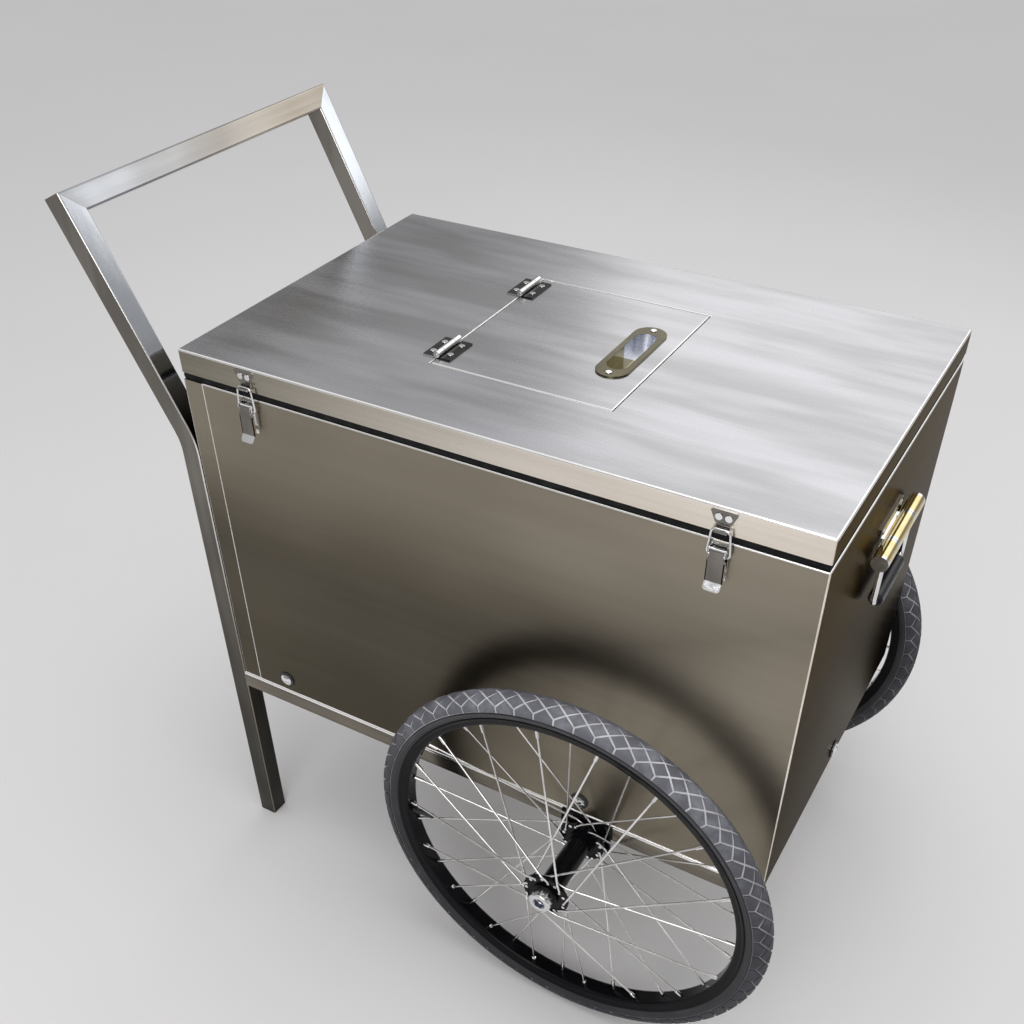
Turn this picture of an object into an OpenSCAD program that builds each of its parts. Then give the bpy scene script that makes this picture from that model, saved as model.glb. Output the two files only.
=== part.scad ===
// Insulated push cart for ice cream: a stainless box on a square-tube frame with two spoked wheels.
// Frame: +X runs forward to the wheels, +Y to the left side, +Z up. The floor is z = 0 and the origin is
// at the middle of the part's bounding box on the floor. Lengths are in millimetres.

/* [Box] */
// Outer length of the box
box_l = 900; // [800:10:1200]
// Outer width of the box
box_w = 560; // [480:10:700]
// Height of the box from the rails to its top edge
box_h = 527; // [420:1:650]
// Thickness of the insulated walls and floor with their sheets
wall = 40; // [32:1:60]
// Thickness of the outer sheets
sheet = 1.2; // [0.8:0.1:2]
// Thickness of the inner sheets
liner_t = 0.8; // [0.6:0.1:1.5]
// Length of the rear panel's returns along the sides
rear_return = 33; // [20:1:60]
// Open seam between neighbouring panels
seam = 0.8; // [0.3:0.1:1.5]

/* [Lid] */
// Height of the lid
lid_h = 33; // [30:1:60]
// Height of the foam gasket between box and lid
gasket_h = 10; // [9:0.5:14]
// Width of the foam gasket
gasket_w = 26; // [15:1:28]
// Distance of the gasket from the box's outer faces
gasket_inset = 3; // [2:0.5:4]

/* [Hatch] */
// Length of the hatch along the cart
hatch_l = 260; // [200:5:320]
// Width of the hatch across the cart
hatch_w = 300; // [260:5:360]
// Centre of the hatch from the box's rear face
hatch_x = 448; // [400:1:500]
// Gap around the hatch plate
hatch_gap = 1.5; // [1:0.1:3]
// Thickness of the hatch plate
hatch_t = 1.5; // [1:0.1:3]
// Width of the ledge that carries the hatch
ledge_w = 14; // [12:1:20]
// Height of the hatch gasket on the ledge
hatch_gasket_h = 5; // [3:0.5:8]
// Gap around the insulated plug under the hatch
plug_gap = 6; // [5:0.5:10]
// Height of the plug's underside above the lid's underside
plug_lift = 1; // [0.5:0.5:4]

/* [Flush pull] */
// Length of the pull's flange
pull_l = 156; // [140:1:180]
// Width of the pull's flange
pull_w = 46; // [40:1:56]
// Thickness of the pull's flange
pull_t = 2; // [1.5:0.1:3]
// Length of the finger recess
recess_l = 112; // [90:1:120]
// Width of the finger recess
recess_w = 30; // [24:1:34]
// Depth of the finger recess below the hatch plate
recess_d = 15; // [10:1:18]
// Wall of the recess cup
cup_t = 1.2; // [0.8:0.1:2]
// Distance of the pull's centre line from the hatch's front edge
pull_inset = 46; // [44:1:60]

/* [Hinges] */
// Length of a hatch hinge
hatch_hinge_l = 56; // [40:1:70]
// Width of a hatch hinge leaf from the pin
hatch_leaf_w = 21; // [18:1:26]
// Distance of each hatch hinge from the hatch's middle
hatch_hinge_y = 109; // [90:1:115]
// Length of a lid hinge
lid_hinge_l = 80; // [50:1:110]
// Width of a lid hinge leaf from the pin
lid_leaf_w = 30; // [24:1:32]
// Spacing of the lid hinges
lid_hinge_pitch = 300; // [200:10:330]
// Thickness of a hinge leaf
leaf_t = 2; // [1.5:0.1:2.5]
// Outer radius of a hinge knuckle
knuckle_r = 4.5; // [4:0.1:5]
// Radius of a hinge pin
pin_r = 2; // [1.5:0.1:2.5]

/* [Draw latches] */
// Rear latch from the box's rear face
latch_rear = 113; // [80:1:250]
// Front latch from the box's front face
latch_front = 123; // [80:1:250]
// Sheet thickness of the latch parts
latch_t = 1.5; // [1:0.1:1.8]
// Diameter of the bail wire
bail_wire = 3; // [2.5:0.1:3.4]
// Length of the bail between its two bars
bail_l = 34; // [30:1:40]
// Distance between the bail's side arms
bail_w = 28; // [26:1:36]
// Width of the lever
lever_w = 21; // [19:0.5:22]
// Length of the lever below its pivot
lever_l = 41; // [36:1:60]
// Height of the keeper's hook above the middle of the seam
hook_up = 13; // [10:0.5:16]

/* [Front handle] */
// Height of the handle's pivot below the lid's top
grip_drop = 152; // [110:1:260]
// Width of the handle's back plate
grip_plate_w = 92; // [88:1:110]
// Height of the handle's back plate
grip_plate_h = 48; // [46:1:70]
// Thickness of the back plate
grip_plate_t = 2.5; // [2:0.1:4]
// Outer radius of the pivot barrel
barrel_r = 11; // [9:0.5:12]
// Length of the barrel's fixed middle knuckle
knuckle_l = 70; // [60:1:76]
// Length of the whole barrel
barrel_l = 164; // [150:1:180]
// Diameter of the bail rod
grip_rod = 8; // [6:0.5:9]
// Distance between the bail's arms
grip_bail_w = 124; // [115:1:140]
// Length of the bail's arms from the pivot
grip_bail_l = 76; // [60:1:100]
// Diameter of the grip sleeve
sleeve_d = 20; // [16:1:22]
// Length of the grip sleeve
sleeve_l = 98; // [70:1:100]

/* [Frame] */
// Side of the square tube
tube = 32; // [26:1:40]
// Wall of the square tube
tube_wall = 2; // [1.5:0.1:3]
// Outer corner radius of the square tube
tube_corner = 3; // [2:0.5:4]
// How far the rails stand out past the side panels
rail_proud = 2; // [0:0.5:4]
// Distance of the rails' front ends behind the box's front face
rail_end = 40; // [20:5:100]
// Height of the handle's bend above the rails
bend_up = 425; // [350:5:480]
// Lean of the handle arms from the vertical
lean = 26; // [15:1:40]
// Centre-line radius of the handle's bend
bend_r = 80; // [60:5:120]
// Length of the arms from the bend to the push bar
arm_l = 335; // [280:5:400]
// Thickness of the leg end caps
foot_t = 3; // [2:0.5:6]
// Rear body bolt from the box's rear face
bolt_rear = 91; // [60:1:150]
// Front body bolt from the box's front face
bolt_front = 280; // [200:1:350]
// Height of the body bolts above the rails
bolt_up = 22; // [19:1:24]
// Diameter of the body bolts
bolt_d = 8; // [6:0.5:9]

/* [Axle] */
// Axle from the box's rear face
axle_x = 635; // [550:5:750]
// Diameter of the axle under the rails
axle_d = 20; // [18:0.5:24]
// Diameter of the axle's ends in the bearings
stub_d = 15; // [14:0.5:16]
// Width of an axle bracket
bracket_w = 80; // [60:1:100]
// Thickness of an axle bracket
bracket_t = 4; // [3:0.5:4.5]
// How far an axle bracket reaches below the axle
bracket_drop = 18; // [15:1:30]
// Radius of an axle nut
nut_r = 16.5; // [14:0.5:18]
// Length of an axle nut outside the hub
nut_l = 15; // [12:0.5:20]

/* [Wheels] */
// Outer diameter of a tyre
tyre_od = 616; // [590:2:660]
// Width of a tyre
tyre_w = 40; // [36:1:46]
// Thickness of a tyre's casing
tyre_t = 3; // [2.5:0.1:4]
// Gap between an axle bracket and the hub
hub_gap = 2; // [1:0.5:20]
// Outer width of a rim
rim_w = 30; // [28:0.5:32]
// Sheet thickness of a rim
rim_t = 2; // [1.8:0.1:2.4]
// Height of a rim's walls
rim_h = 12; // [11:0.5:15]
// Spokes in each wheel
spoke_count = 36; // [28:4:40]
// Diameter of a spoke
spoke_d = 3; // [2.4:0.1:3.2]
// Turn of a spoke between hub and rim, in hub holes
spoke_cross = 3; // [2:1:3]
// Radius of the spoke hole circle on the hub
spoke_circle = 30; // [28:0.5:31]
// Radius of a hub flange
flange_r = 35; // [34:0.5:38]
// Thickness of a hub flange
flange_t = 3.5; // [3:0.1:4]
// Distance of a hub flange from the wheel's middle
flange_out = 55; // [48:1:56]
// Half length of a hub
hub_half = 61; // [60.5:0.5:62]
// Radius of a hub between its flanges
hub_r = 17.5; // [15:0.5:20]
// Outer radius of a bearing
bearing_r = 16; // [15.5:0.5:17]
// Width of a bearing
bearing_w = 9; // [8:0.5:11]
// Balls in each bearing
ball_count = 9; // [7:1:10]

/* [Clearances] */
// Radial clearance of running fits
run_fit = 0.05; // [0.02:0.01:0.1]
// Radial clearance of fixed fits
fixed_fit = 0.02; // [0.01:0.01:0.05]
// Gap between parts that pass each other
pass_gap = 0.5; // [0.3:0.1:0.8]
// Gap between insulation blocks
foam_gap = 0.2; // [0.1:0.1:0.5]

/* [Hidden] */
$fn = 64;
big = 400;
right = -1;
left = 1;

// Heights
axle_z = tyre_od / 2;
rail_z = axle_z + axle_d / 2 + fixed_fit;
box_z = rail_z + tube;
box_top = box_z + box_h;
lid_z = box_top + gasket_h;
lid_top = lid_z + lid_h;
seam_z = box_top + gasket_h / 2;
cavity_z = box_z + wall;
rim_z = box_top - sheet;

// Plan
side_y = box_w / 2;
rail_y = side_y + rail_proud;
tube_y = rail_y - tube / 2;
wheel_y = rail_y + bracket_t + hub_gap + hub_half;
inner_w = box_w - 2 * sheet;
cavity_w = box_w - 2 * wall;
mid_x = box_l / 2;
latch_xs = [latch_rear, box_l - latch_front];
bolt_xs = [bolt_rear, box_l - bolt_front];
lid_hinge_xs = [for (i = [-1:1]) mid_x + i * lid_hinge_pitch];

// Handle
bend_z = box_z + bend_up;
bend_tangent = bend_r * tan(lean / 2);
bend_swell = 0.1;
bend_lap = 2;
bar_x = -tube / 2 - arm_l * sin(lean);
bar_half = tube / 2 * (cos(lean) + sin(lean)) - tube_corner * (cos(lean) + sin(lean) - 1);

// Middle of the whole cart, from the box's rear face
front_reach = max(axle_x + tyre_od / 2, box_l + grip_plate_t + pass_gap + 2 * barrel_r);
cart_mid = (front_reach + bar_x - bar_half) / 2;

// Hatch
hatch_rear = hatch_x - hatch_l / 2;
hatch_front = hatch_x + hatch_l / 2;
port_l = hatch_l + 2 * hatch_gap;
port_w = hatch_w + 2 * hatch_gap;
frame_t = sheet;
throat_l = port_l - 2 * ledge_w;
throat_w = port_w - 2 * ledge_w;
plug_l = throat_l - 2 * plug_gap;
plug_w = throat_w - 2 * plug_gap;
plate_z = lid_top - hatch_t;
ledge_z = plate_z - hatch_gasket_h;
hatch_gasket_w = ledge_w - plug_gap / 2;
plug_z = lid_z + plug_lift;
pull_x = hatch_front - pull_inset;
pull_screw_y = (pull_l + recess_l) / 4 + cup_t / 2;

// Hinges
axis_up = knuckle_r + 0.3;
hatch_axis_x = hatch_rear - hatch_gap / 2;
rivet_r = 1.6;
rivet_head_r = 4.2;
rivet_head_t = 1.2;

// Draw latches, as outward distance from the panel and height from the seam
hook_r = bail_wire / 2 + 2.1;
hook_out = latch_t + hook_r;
hook_w = 16;
bar_drop = 0.6;
bail_foot = hook_up - bar_drop - bail_l;
pivot_in = 2;
pivot_up = 8;
pivot_out = hook_out + pivot_in;
pivot_z = bail_foot + pivot_up;
latch_pin_r = 1.5;
lever_barrel_r = 3;
lever_out = pivot_out + lever_barrel_r - latch_t / 2;
lever_foot = pivot_z - lever_l;
cheek_t = latch_t;
cheek_r = lever_barrel_r + 1;
cheek_in = lever_w / 2 - 1.5;
latch_base_w = 2 * (cheek_in + cheek_t);
lever_tab = 11;
lever_tab_lean = 35;
lever_step = 0.2;
latch_base_foot = lever_foot;
keeper_w = 32;
keeper_neck = 19;
keeper_h = 17;
keeper_nip = 2.5;
keeper_z = hook_up + 13;
keeper_rivet_x = 5.8;
keeper_head_r = 4.4;
base_rivet_zs = [pivot_z - 16, latch_base_foot + 6];

// Front handle
grip_z = lid_top - grip_drop;
grip_x = box_l + grip_plate_t + barrel_r + pass_gap;
grip_rivet_y = grip_plate_w / 2 - 8;
grip_rivet_z = grip_plate_h / 2 - 6;
grip_corner = 10;

// Wheels
tyre_r = tyre_w / 2;
tyre_ring = tyre_od / 2 - tyre_r;
bead_out = rim_w / 2 - rim_t - pass_gap;
rim_out = tyre_ring - sqrt(pow(tyre_r, 2) - pow(bead_out, 2));
rim_in = rim_out - rim_h;
rim_edge = 3;
bead_in = bead_out - tyre_t - 1;
hub_boss_r = bearing_r + 4;
bearing_out = hub_half - 1.5 - bearing_w / 2;
inner_ring_r = stub_d / 2 + 2.7;
outer_ring_r = bearing_r - 2.8;
ball_ring = (inner_ring_r + outer_ring_r) / 2;
ball_r = 2.4;
per_flange = spoke_count / 2;
hole_step = 360 / per_flange;
tube_gap = 0.3;
spoke_rim_out = 5;
spoke_head_t = 1.4;
spoke_knee = 0.3;
spoke_lap = 0.4;
nipple_gap = 0.7;
nipple_l = 13;
nipple_r = 2.8;
valve_r = 4;
valve_l = 34;
valve_turn = 180 + hole_step / 4;
nut_seat = bearing_out + bearing_w / 2;
nut_end = hub_half + pass_gap + nut_l;
nut_recess = 8;
axle_end = wheel_y + nut_end - nut_recess;

// Helpers

module rounded_square(s, r) {
    square([s - 2 * r, s], center = true);
    square([s, s - 2 * r], center = true);
    for (x = [-1, 1], y = [-1, 1]) {
        translate([x * (s / 2 - r), y * (s / 2 - r)]) circle(r);
    }
}

module tube_section() {
    difference() {
        rounded_square(tube, tube_corner);
        rounded_square(tube - 2 * tube_wall, max(tube_corner - tube_wall, 0.5));
    }
}

// Extrude a profile of (outward or forward, up) points along X or Y, centred
module along_x(l) { rotate([90, 0, 90]) linear_extrude(l, center = true) children(); }
module along_y(l) { rotate([90, 0, 0]) linear_extrude(l, center = true) children(); }
module rod_x(r, l) { rotate([0, 90, 0]) cylinder(r = r, h = l, center = true); }
module rod_y(r, l) { rotate([90, 0, 0]) cylinder(r = r, h = l, center = true); }

module block(low, high) { translate(low) cube(high - low); }

module stadium(l, w) {
    square([w, l - w], center = true);
    for (s = [-1, 1]) translate([0, s * (l - w) / 2]) circle(w / 2);
}

// A dome-headed rivet along -Z with its head on z = 0, and the hole it passes through
module rivet(grip, head_r = rivet_head_r) {
    cylinder(r = head_r, h = rivet_head_t);
    translate([0, 0, -grip]) cylinder(r = rivet_r, h = grip);
}
module rivet_hole(grip) { translate([0, 0, -grip - 1]) cylinder(r = rivet_r + fixed_fit, h = grip + 2); }

// Places on the cart
module at_latch(x) { translate([x, -side_y, seam_z]) rotate([0, 0, 180]) children(); }
module at_wheel(side) { translate([axle_x, side * wheel_y, axle_z]) rotate([-90 * side, 0, 0]) children(); }
module at_lid_hinge(x) { translate([x, side_y, seam_z]) rotate([-90, 0, 0]) children(); }
module at_hatch_hinges() {
    for (s = [-1, 1]) translate([hatch_axis_x, s * hatch_hinge_y, lid_top]) rotate([0, 0, -90]) children();
}

// Frame

// The tube's path from foot to push bar, filled to the given section; the bend swells by a hair over the
// straights, which lap into it
module leg_path(section, corner) {
    straight = bend_z - bend_tangent + bend_lap;
    translate([0, 0, foot_t]) linear_extrude(straight - foot_t) rounded_square(section, corner);
    translate([-bend_r, 0, bend_z - bend_tangent]) rotate([90, 0, 0]) rotate_extrude(angle = lean)
        translate([bend_r, 0]) rounded_square(section + bend_swell, corner);
    translate([0, 0, bend_z]) rotate([0, -lean, 0]) translate([0, 0, bend_tangent - bend_lap])
        linear_extrude(arm_l + tube - bend_tangent + bend_lap) rounded_square(section, corner);
}

module leg_tube(side) {
    color([0.50, 0.49, 0.45]) translate([-tube / 2, side * tube_y, 0]) difference() {
        leg_path(tube, tube_corner);
        leg_path(tube - 2 * tube_wall, max(tube_corner - tube_wall, 0.5));
        translate([0, 0, bend_z]) rotate([0, -lean, 0]) translate([0, 0, arm_l]) rotate([45 * side, 0, 0])
            translate([-big / 2, -big / 2, 0]) cube(big);
    }
}

module push_bar() {
    color([0.72, 0.71, 0.68]) translate([-tube / 2, 0, bend_z]) rotate([0, -lean, 0]) difference() {
        translate([0, 0, arm_l]) along_y(2 * rail_y) tube_section();
        for (side = [right, left]) {
            translate([0, side * tube_y, arm_l]) rotate([45 * side, 0, 0])
                translate([-big / 2, -big / 2, -big]) cube(big);
        }
    }
}

module leg_end_caps() {
    color([0.45, 0.44, 0.40]) for (side = [right, left]) {
        translate([-tube / 2, side * tube_y, 0]) linear_extrude(foot_t) rounded_square(tube, tube_corner);
    }
}

module base_rail(side) {
    rail_l = box_l - rail_end;
    color([0.52, 0.50, 0.44]) translate([rail_l / 2, side * tube_y, rail_z + tube / 2])
        along_x(rail_l) tube_section();
}

module base_crossmembers() {
    color([0.52, 0.50, 0.44]) for (x = [tube, box_l - rail_end - tube / 2]) {
        translate([x, 0, rail_z + tube / 2]) along_y(2 * tube_y - tube) tube_section();
    }
}

// Axle

module axle_shaft() {
    color([0.30, 0.30, 0.31]) translate([axle_x, 0, axle_z]) {
        rod_y(axle_d / 2, 2 * (wheel_y - bearing_out - bearing_w / 2));
        rod_y(stub_d / 2, 2 * axle_end);
    }
}

module axle_brackets() {
    low = axle_z - bracket_drop;
    high = box_z - 2;
    color([0.05, 0.05, 0.05]) for (side = [right, left]) difference() {
        translate([axle_x, side * (rail_y + bracket_t / 2), (low + high) / 2])
            cube([bracket_w, bracket_t, high - low], center = true);
        translate([axle_x, 0, axle_z]) rod_y(axle_d / 2 + fixed_fit, 2 * wheel_y);
    }
}

module axle_nuts() {
    bore = stub_d / 2 + fixed_fit;
    nose_r = inner_ring_r - 0.4;
    edge = 1.5;
    color([0.80, 0.80, 0.78]) for (side = [right, left]) at_wheel(side) rotate_extrude() polygon([
        [bore, nut_seat], [nose_r, nut_seat], [nose_r, nut_end - nut_l], [nut_r, nut_end - nut_l],
        [nut_r, nut_end - edge], [nut_r - edge, nut_end], [bore + edge, nut_end],
        [bore + edge, nut_end - nut_recess], [bore, nut_end - nut_recess]
    ]);
}

module bearing_inner_rings() {
    color([0.75, 0.75, 0.75]) for (side = [right, left], s = [-1, 1]) at_wheel(side) {
        translate([0, 0, s * bearing_out]) rotate_extrude() difference() {
            translate([stub_d / 2 + fixed_fit, -bearing_w / 2])
                square([inner_ring_r - stub_d / 2 - fixed_fit, bearing_w]);
            translate([ball_ring, 0]) circle(ball_r + run_fit);
        }
    }
}

// Box

module side_panel(side) {
    color([0.46, 0.44, 0.37]) difference() {
        translate([(rear_return + seam + box_l) / 2, side * (side_y - sheet / 2), (box_z + box_top) / 2])
            cube([box_l - rear_return - seam, sheet, box_h], center = true);
        for (x = bolt_xs) translate([x, side * side_y, box_z + bolt_up])
            rod_y(bolt_d / 2 + fixed_fit, 4 * sheet);
        if (side == right) latch_base_rivet_places() rivet_hole(latch_t + sheet);
        else lid_hinge_rivet_places(-1) rivet_hole(leaf_t + sheet);
    }
}

module front_panel() {
    color([0.40, 0.36, 0.30]) difference() {
        block([box_l - sheet, -inner_w / 2, box_z], [box_l, inner_w / 2, box_top]);
        front_handle_rivet_places() rivet_hole(grip_plate_t + sheet);
        translate([box_l, 0, box_z + bolt_up]) rod_x(bolt_d / 2 + fixed_fit, 4 * sheet);
    }
}

module rear_panel() {
    color([0.46, 0.44, 0.38]) difference() {
        block([0, -side_y, box_z], [rear_return, side_y, box_top]);
        block([sheet, -inner_w / 2, box_z - 1], [rear_return + 1, inner_w / 2, box_top + 1]);
    }
}

module floor_panel() {
    color([0.55, 0.55, 0.53])
        block([sheet, -inner_w / 2, box_z], [box_l - sheet, inner_w / 2, box_z + sheet]);
}

module inner_liner() {
    color([0.75, 0.75, 0.74]) difference() {
        block([wall - liner_t, -cavity_w / 2 - liner_t, cavity_z - liner_t],
              [box_l - wall + liner_t, cavity_w / 2 + liner_t, rim_z]);
        block([wall, -cavity_w / 2, cavity_z], [box_l - wall, cavity_w / 2, box_top + 1]);
    }
}

module wall_insulation() {
    slab_x = wall - liner_t;
    slab_y = cavity_w / 2 + liner_t;
    slab_z = cavity_z - liner_t;
    end_y = slab_y - foam_gap;
    wall_z = slab_z + foam_gap;
    color([0.93, 0.90, 0.78]) {
        difference() {
            block([sheet, -inner_w / 2, box_z + sheet], [box_l - sheet, inner_w / 2, slab_z]);
            for (side = [right, left], x = bolt_xs) {
                translate([x, side * inner_w / 2, box_z + bolt_up]) rod_y(bolt_d + 1, 2 * (bolt_d + 2));
            }
            translate([box_l - sheet, 0, box_z + bolt_up]) rod_x(bolt_d + 1, 2 * (bolt_d + 2));
        }
        block([sheet, -inner_w / 2, wall_z], [box_l - sheet, -slab_y, rim_z]);
        block([sheet, slab_y, wall_z], [box_l - sheet, inner_w / 2, rim_z]);
        block([sheet, -end_y, wall_z], [slab_x, end_y, rim_z]);
        block([box_l - slab_x, -end_y, wall_z], [box_l - sheet, end_y, rim_z]);
    }
}

module box_rim() {
    color([0.70, 0.70, 0.68]) difference() {
        block([sheet, -inner_w / 2, rim_z], [box_l - sheet, inner_w / 2, box_top]);
        block([wall, -cavity_w / 2, rim_z - 1], [box_l - wall, cavity_w / 2, box_top + 1]);
    }
}

module lid_gasket() {
    inset = gasket_inset + gasket_w;
    color([0.03, 0.03, 0.03]) difference() {
        block([gasket_inset, gasket_inset - side_y, box_top],
              [box_l - gasket_inset, side_y - gasket_inset, lid_z]);
        block([inset, inset - side_y, box_top - 1], [box_l - inset, side_y - inset, lid_z + 1]);
    }
}

// Round-headed bolt with a washer outside the panel and a nut behind it, pointing along +Z
module body_bolt() {
    head_r = 1.25 * bolt_d;
    head_h = head_r / 2;
    dome_r = 1.6 * head_r;
    slot_w = 2;
    slot_d = 2;
    washer_r = 1.75 * bolt_d;
    washer_t = 1.5;
    nut_flat = 0.9 * bolt_d;
    difference() {
        cylinder(r = washer_r, h = washer_t);
        translate([0, 0, -1]) cylinder(r = bolt_d / 2 + fixed_fit, h = washer_t + 2);
    }
    difference() {
        union() {
            translate([0, 0, -bolt_d - sheet]) cylinder(r = bolt_d / 2, h = bolt_d + sheet + washer_t);
            intersection() {
                translate([0, 0, washer_t]) cylinder(r = head_r, h = head_h);
                translate([0, 0, washer_t + head_h - dome_r]) sphere(dome_r);
            }
        }
        translate([-head_r, -slot_w / 2, washer_t + head_h - slot_d])
            cube([2 * head_r, slot_w, slot_d + 1]);
    }
    translate([0, 0, -bolt_d - sheet]) difference() {
        cylinder(r = nut_flat, h = bolt_d, $fn = 6);
        translate([0, 0, -1]) cylinder(r = bolt_d / 2 + fixed_fit, h = bolt_d + 2, $fn = 64);
    }
}

// Two bolts low on each side and one in the middle of the front
module body_bolts() {
    color([0.55, 0.54, 0.50]) {
        for (side = [right, left], x = bolt_xs) translate([x, side * side_y, box_z + bolt_up])
            rotate([-90 * side, 0, 0]) body_bolt();
        translate([box_l, 0, box_z + bolt_up]) rotate([0, 90, 0]) body_bolt();
    }
}

// Hinges: the pin runs along X, the fixed leaf lies towards +Y and the moving leaf towards -Y

module knuckle(l) {
    translate([0, 0, axis_up]) rod_x(knuckle_r, l);
}

module hinge_leaf(l, w, moving) {
    dir = moving ? -1 : 1;
    edge = knuckle_r + pass_gap;
    part_l = moving ? l / 2 - 2 * pass_gap : l / 4;
    places = moving ? [0] : [-3 * l / 8, 3 * l / 8];
    difference() {
        union() {
            block([-l / 2, min(dir * edge, dir * w), 0], [l / 2, max(dir * edge, dir * w), leaf_t]);
            for (x = places) translate([x, 0, 0]) {
                knuckle(part_l);
                block([-part_l / 2, min(0, dir * (edge + 1)), axis_up - knuckle_r],
                      [part_l / 2, max(0, dir * (edge + 1)), leaf_t]);
            }
        }
        translate([0, 0, axis_up]) rod_x(pin_r + (moving ? run_fit : fixed_fit), 2 * l);
        hinge_rivet_places(l, w, dir) rivet_hole(leaf_t);
    }
}

module hinge_rivet_places(l, w, dir) {
    for (s = [-1, 1]) translate([s * l / 4, dir * (w + knuckle_r + 1) / 2, leaf_t]) children();
}

module hinge_pin(l) { translate([0, 0, axis_up]) rod_x(pin_r, l + 3); }

module lid_hinge_rivet_places(dir) {
    for (x = lid_hinge_xs) at_lid_hinge(x) hinge_rivet_places(lid_hinge_l, lid_leaf_w, -dir) children();
}

module hatch_hinge_rivet_places(dir) {
    at_hatch_hinges() hinge_rivet_places(hatch_hinge_l, hatch_leaf_w, dir) children();
}

module lid_hinge_box_leaves() {
    color([0.75, 0.75, 0.74]) for (x = lid_hinge_xs) at_lid_hinge(x)
        hinge_leaf(lid_hinge_l, lid_leaf_w, false);
}

module lid_hinge_pins() {
    color([0.60, 0.60, 0.60]) for (x = lid_hinge_xs) at_lid_hinge(x) hinge_pin(lid_hinge_l);
}

module lid_hinge_lid_leaves() {
    color([0.75, 0.75, 0.74]) for (x = lid_hinge_xs) at_lid_hinge(x)
        hinge_leaf(lid_hinge_l, lid_leaf_w, true);
}

module hatch_hinge_lid_leaves() {
    color([0.78, 0.78, 0.77]) at_hatch_hinges() mirror([0, 1, 0])
        hinge_leaf(hatch_hinge_l, hatch_leaf_w, false);
}

module hatch_hinge_pins() {
    color([0.60, 0.60, 0.60]) at_hatch_hinges() hinge_pin(hatch_hinge_l);
}

module hatch_hinge_leaves() {
    color([0.78, 0.78, 0.77]) at_hatch_hinges() mirror([0, 1, 0])
        hinge_leaf(hatch_hinge_l, hatch_leaf_w, true);
}

// Lid

module lid_skin() {
    color([0.70, 0.69, 0.68]) difference() {
        block([0, -side_y, lid_z], [box_l, side_y, lid_top]);
        block([sheet, -inner_w / 2, lid_z - 1], [box_l - sheet, inner_w / 2, lid_top - sheet]);
        block([hatch_x - port_l / 2, -port_w / 2, lid_z], [hatch_x + port_l / 2, port_w / 2, lid_top + 1]);
        hatch_hinge_rivet_places(-1) rivet_hole(leaf_t + sheet);
        lid_hinge_rivet_places(1) rivet_hole(leaf_t + sheet);
        keeper_rivet_places() rivet_hole(latch_t + sheet);
    }
}

module lid_liner() {
    hole_l = throat_l / 2 + frame_t;
    hole_w = throat_w / 2 + frame_t;
    color([0.75, 0.75, 0.74]) difference() {
        block([sheet, -inner_w / 2, lid_z], [box_l - sheet, inner_w / 2, lid_z + liner_t]);
        block([hatch_x - hole_l, -hole_w, lid_z - 1], [hatch_x + hole_l, hole_w, lid_z + liner_t + 1]);
    }
}

module lid_insulation() {
    hole_l = port_l / 2 + frame_t;
    hole_w = port_w / 2 + frame_t;
    side_l = hole_l - foam_gap;
    low = lid_z + liner_t;
    high = lid_top - sheet;
    color([0.93, 0.90, 0.78]) {
        block([sheet, -inner_w / 2, low], [hatch_x - hole_l, inner_w / 2, high]);
        block([hatch_x + hole_l, -inner_w / 2, low], [box_l - sheet, inner_w / 2, high]);
        block([hatch_x - side_l, hole_w, low], [hatch_x + side_l, inner_w / 2, high]);
        block([hatch_x - side_l, -inner_w / 2, low], [hatch_x + side_l, -hole_w, high]);
    }
}

// A square ring of sheet around the hatch opening
module hatch_ring(out_l, out_w, in_l, in_w, low, high) {
    difference() {
        block([hatch_x - out_l / 2, -out_w / 2, low], [hatch_x + out_l / 2, out_w / 2, high]);
        block([hatch_x - in_l / 2, -in_w / 2, low - 1], [hatch_x + in_l / 2, in_w / 2, high + 1]);
    }
}

module hatch_frame() {
    t2 = 2 * frame_t;
    color([0.66, 0.66, 0.64]) {
        hatch_ring(port_l + t2, port_w + t2, port_l, port_w, ledge_z - frame_t, lid_top - sheet);
        hatch_ring(port_l + t2, port_w + t2, throat_l, throat_w, ledge_z - frame_t, ledge_z);
        hatch_ring(throat_l + t2, throat_w + t2, throat_l, throat_w, lid_z, ledge_z);
    }
}

module hatch_gasket() {
    in_l = port_l - 2 * hatch_gasket_w;
    in_w = port_w - 2 * hatch_gasket_w;
    color([0.04, 0.04, 0.04])
        hatch_ring(port_l - 2 * hatch_gap, port_w - 2 * hatch_gap, in_l, in_w, ledge_z, plate_z);
}

// Hatch

module pull_cut(grow, low, high) {
    translate([pull_x, 0, low]) linear_extrude(high - low) stadium(recess_l + 2 * grow, recess_w + 2 * grow);
}

module hatch_plate() {
    color([0.70, 0.69, 0.68]) difference() {
        block([hatch_rear, -hatch_w / 2, plate_z], [hatch_front, hatch_w / 2, lid_top]);
        pull_cut(cup_t + fixed_fit, plate_z - 1, lid_top + 1);
        pull_screw_places() rivet_hole(pull_t + hatch_t);
        hatch_hinge_rivet_places(1) rivet_hole(leaf_t + hatch_t);
    }
}

module plug(inset, low, high) {
    block([hatch_x - plug_l / 2 + inset, inset - plug_w / 2, low],
          [hatch_x + plug_l / 2 - inset, plug_w / 2 - inset, high]);
}

module hatch_insulation() {
    color([0.93, 0.90, 0.78]) difference() {
        plug(liner_t, plug_z + liner_t, plate_z);
        pull_cut(cup_t + fixed_fit, lid_top - recess_d - cup_t - fixed_fit, lid_top + 1);
    }
}

module hatch_pan() {
    color([0.72, 0.72, 0.71]) difference() {
        plug(0, plug_z, plate_z);
        plug(liner_t, plug_z + liner_t, plate_z + 1);
    }
}

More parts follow.
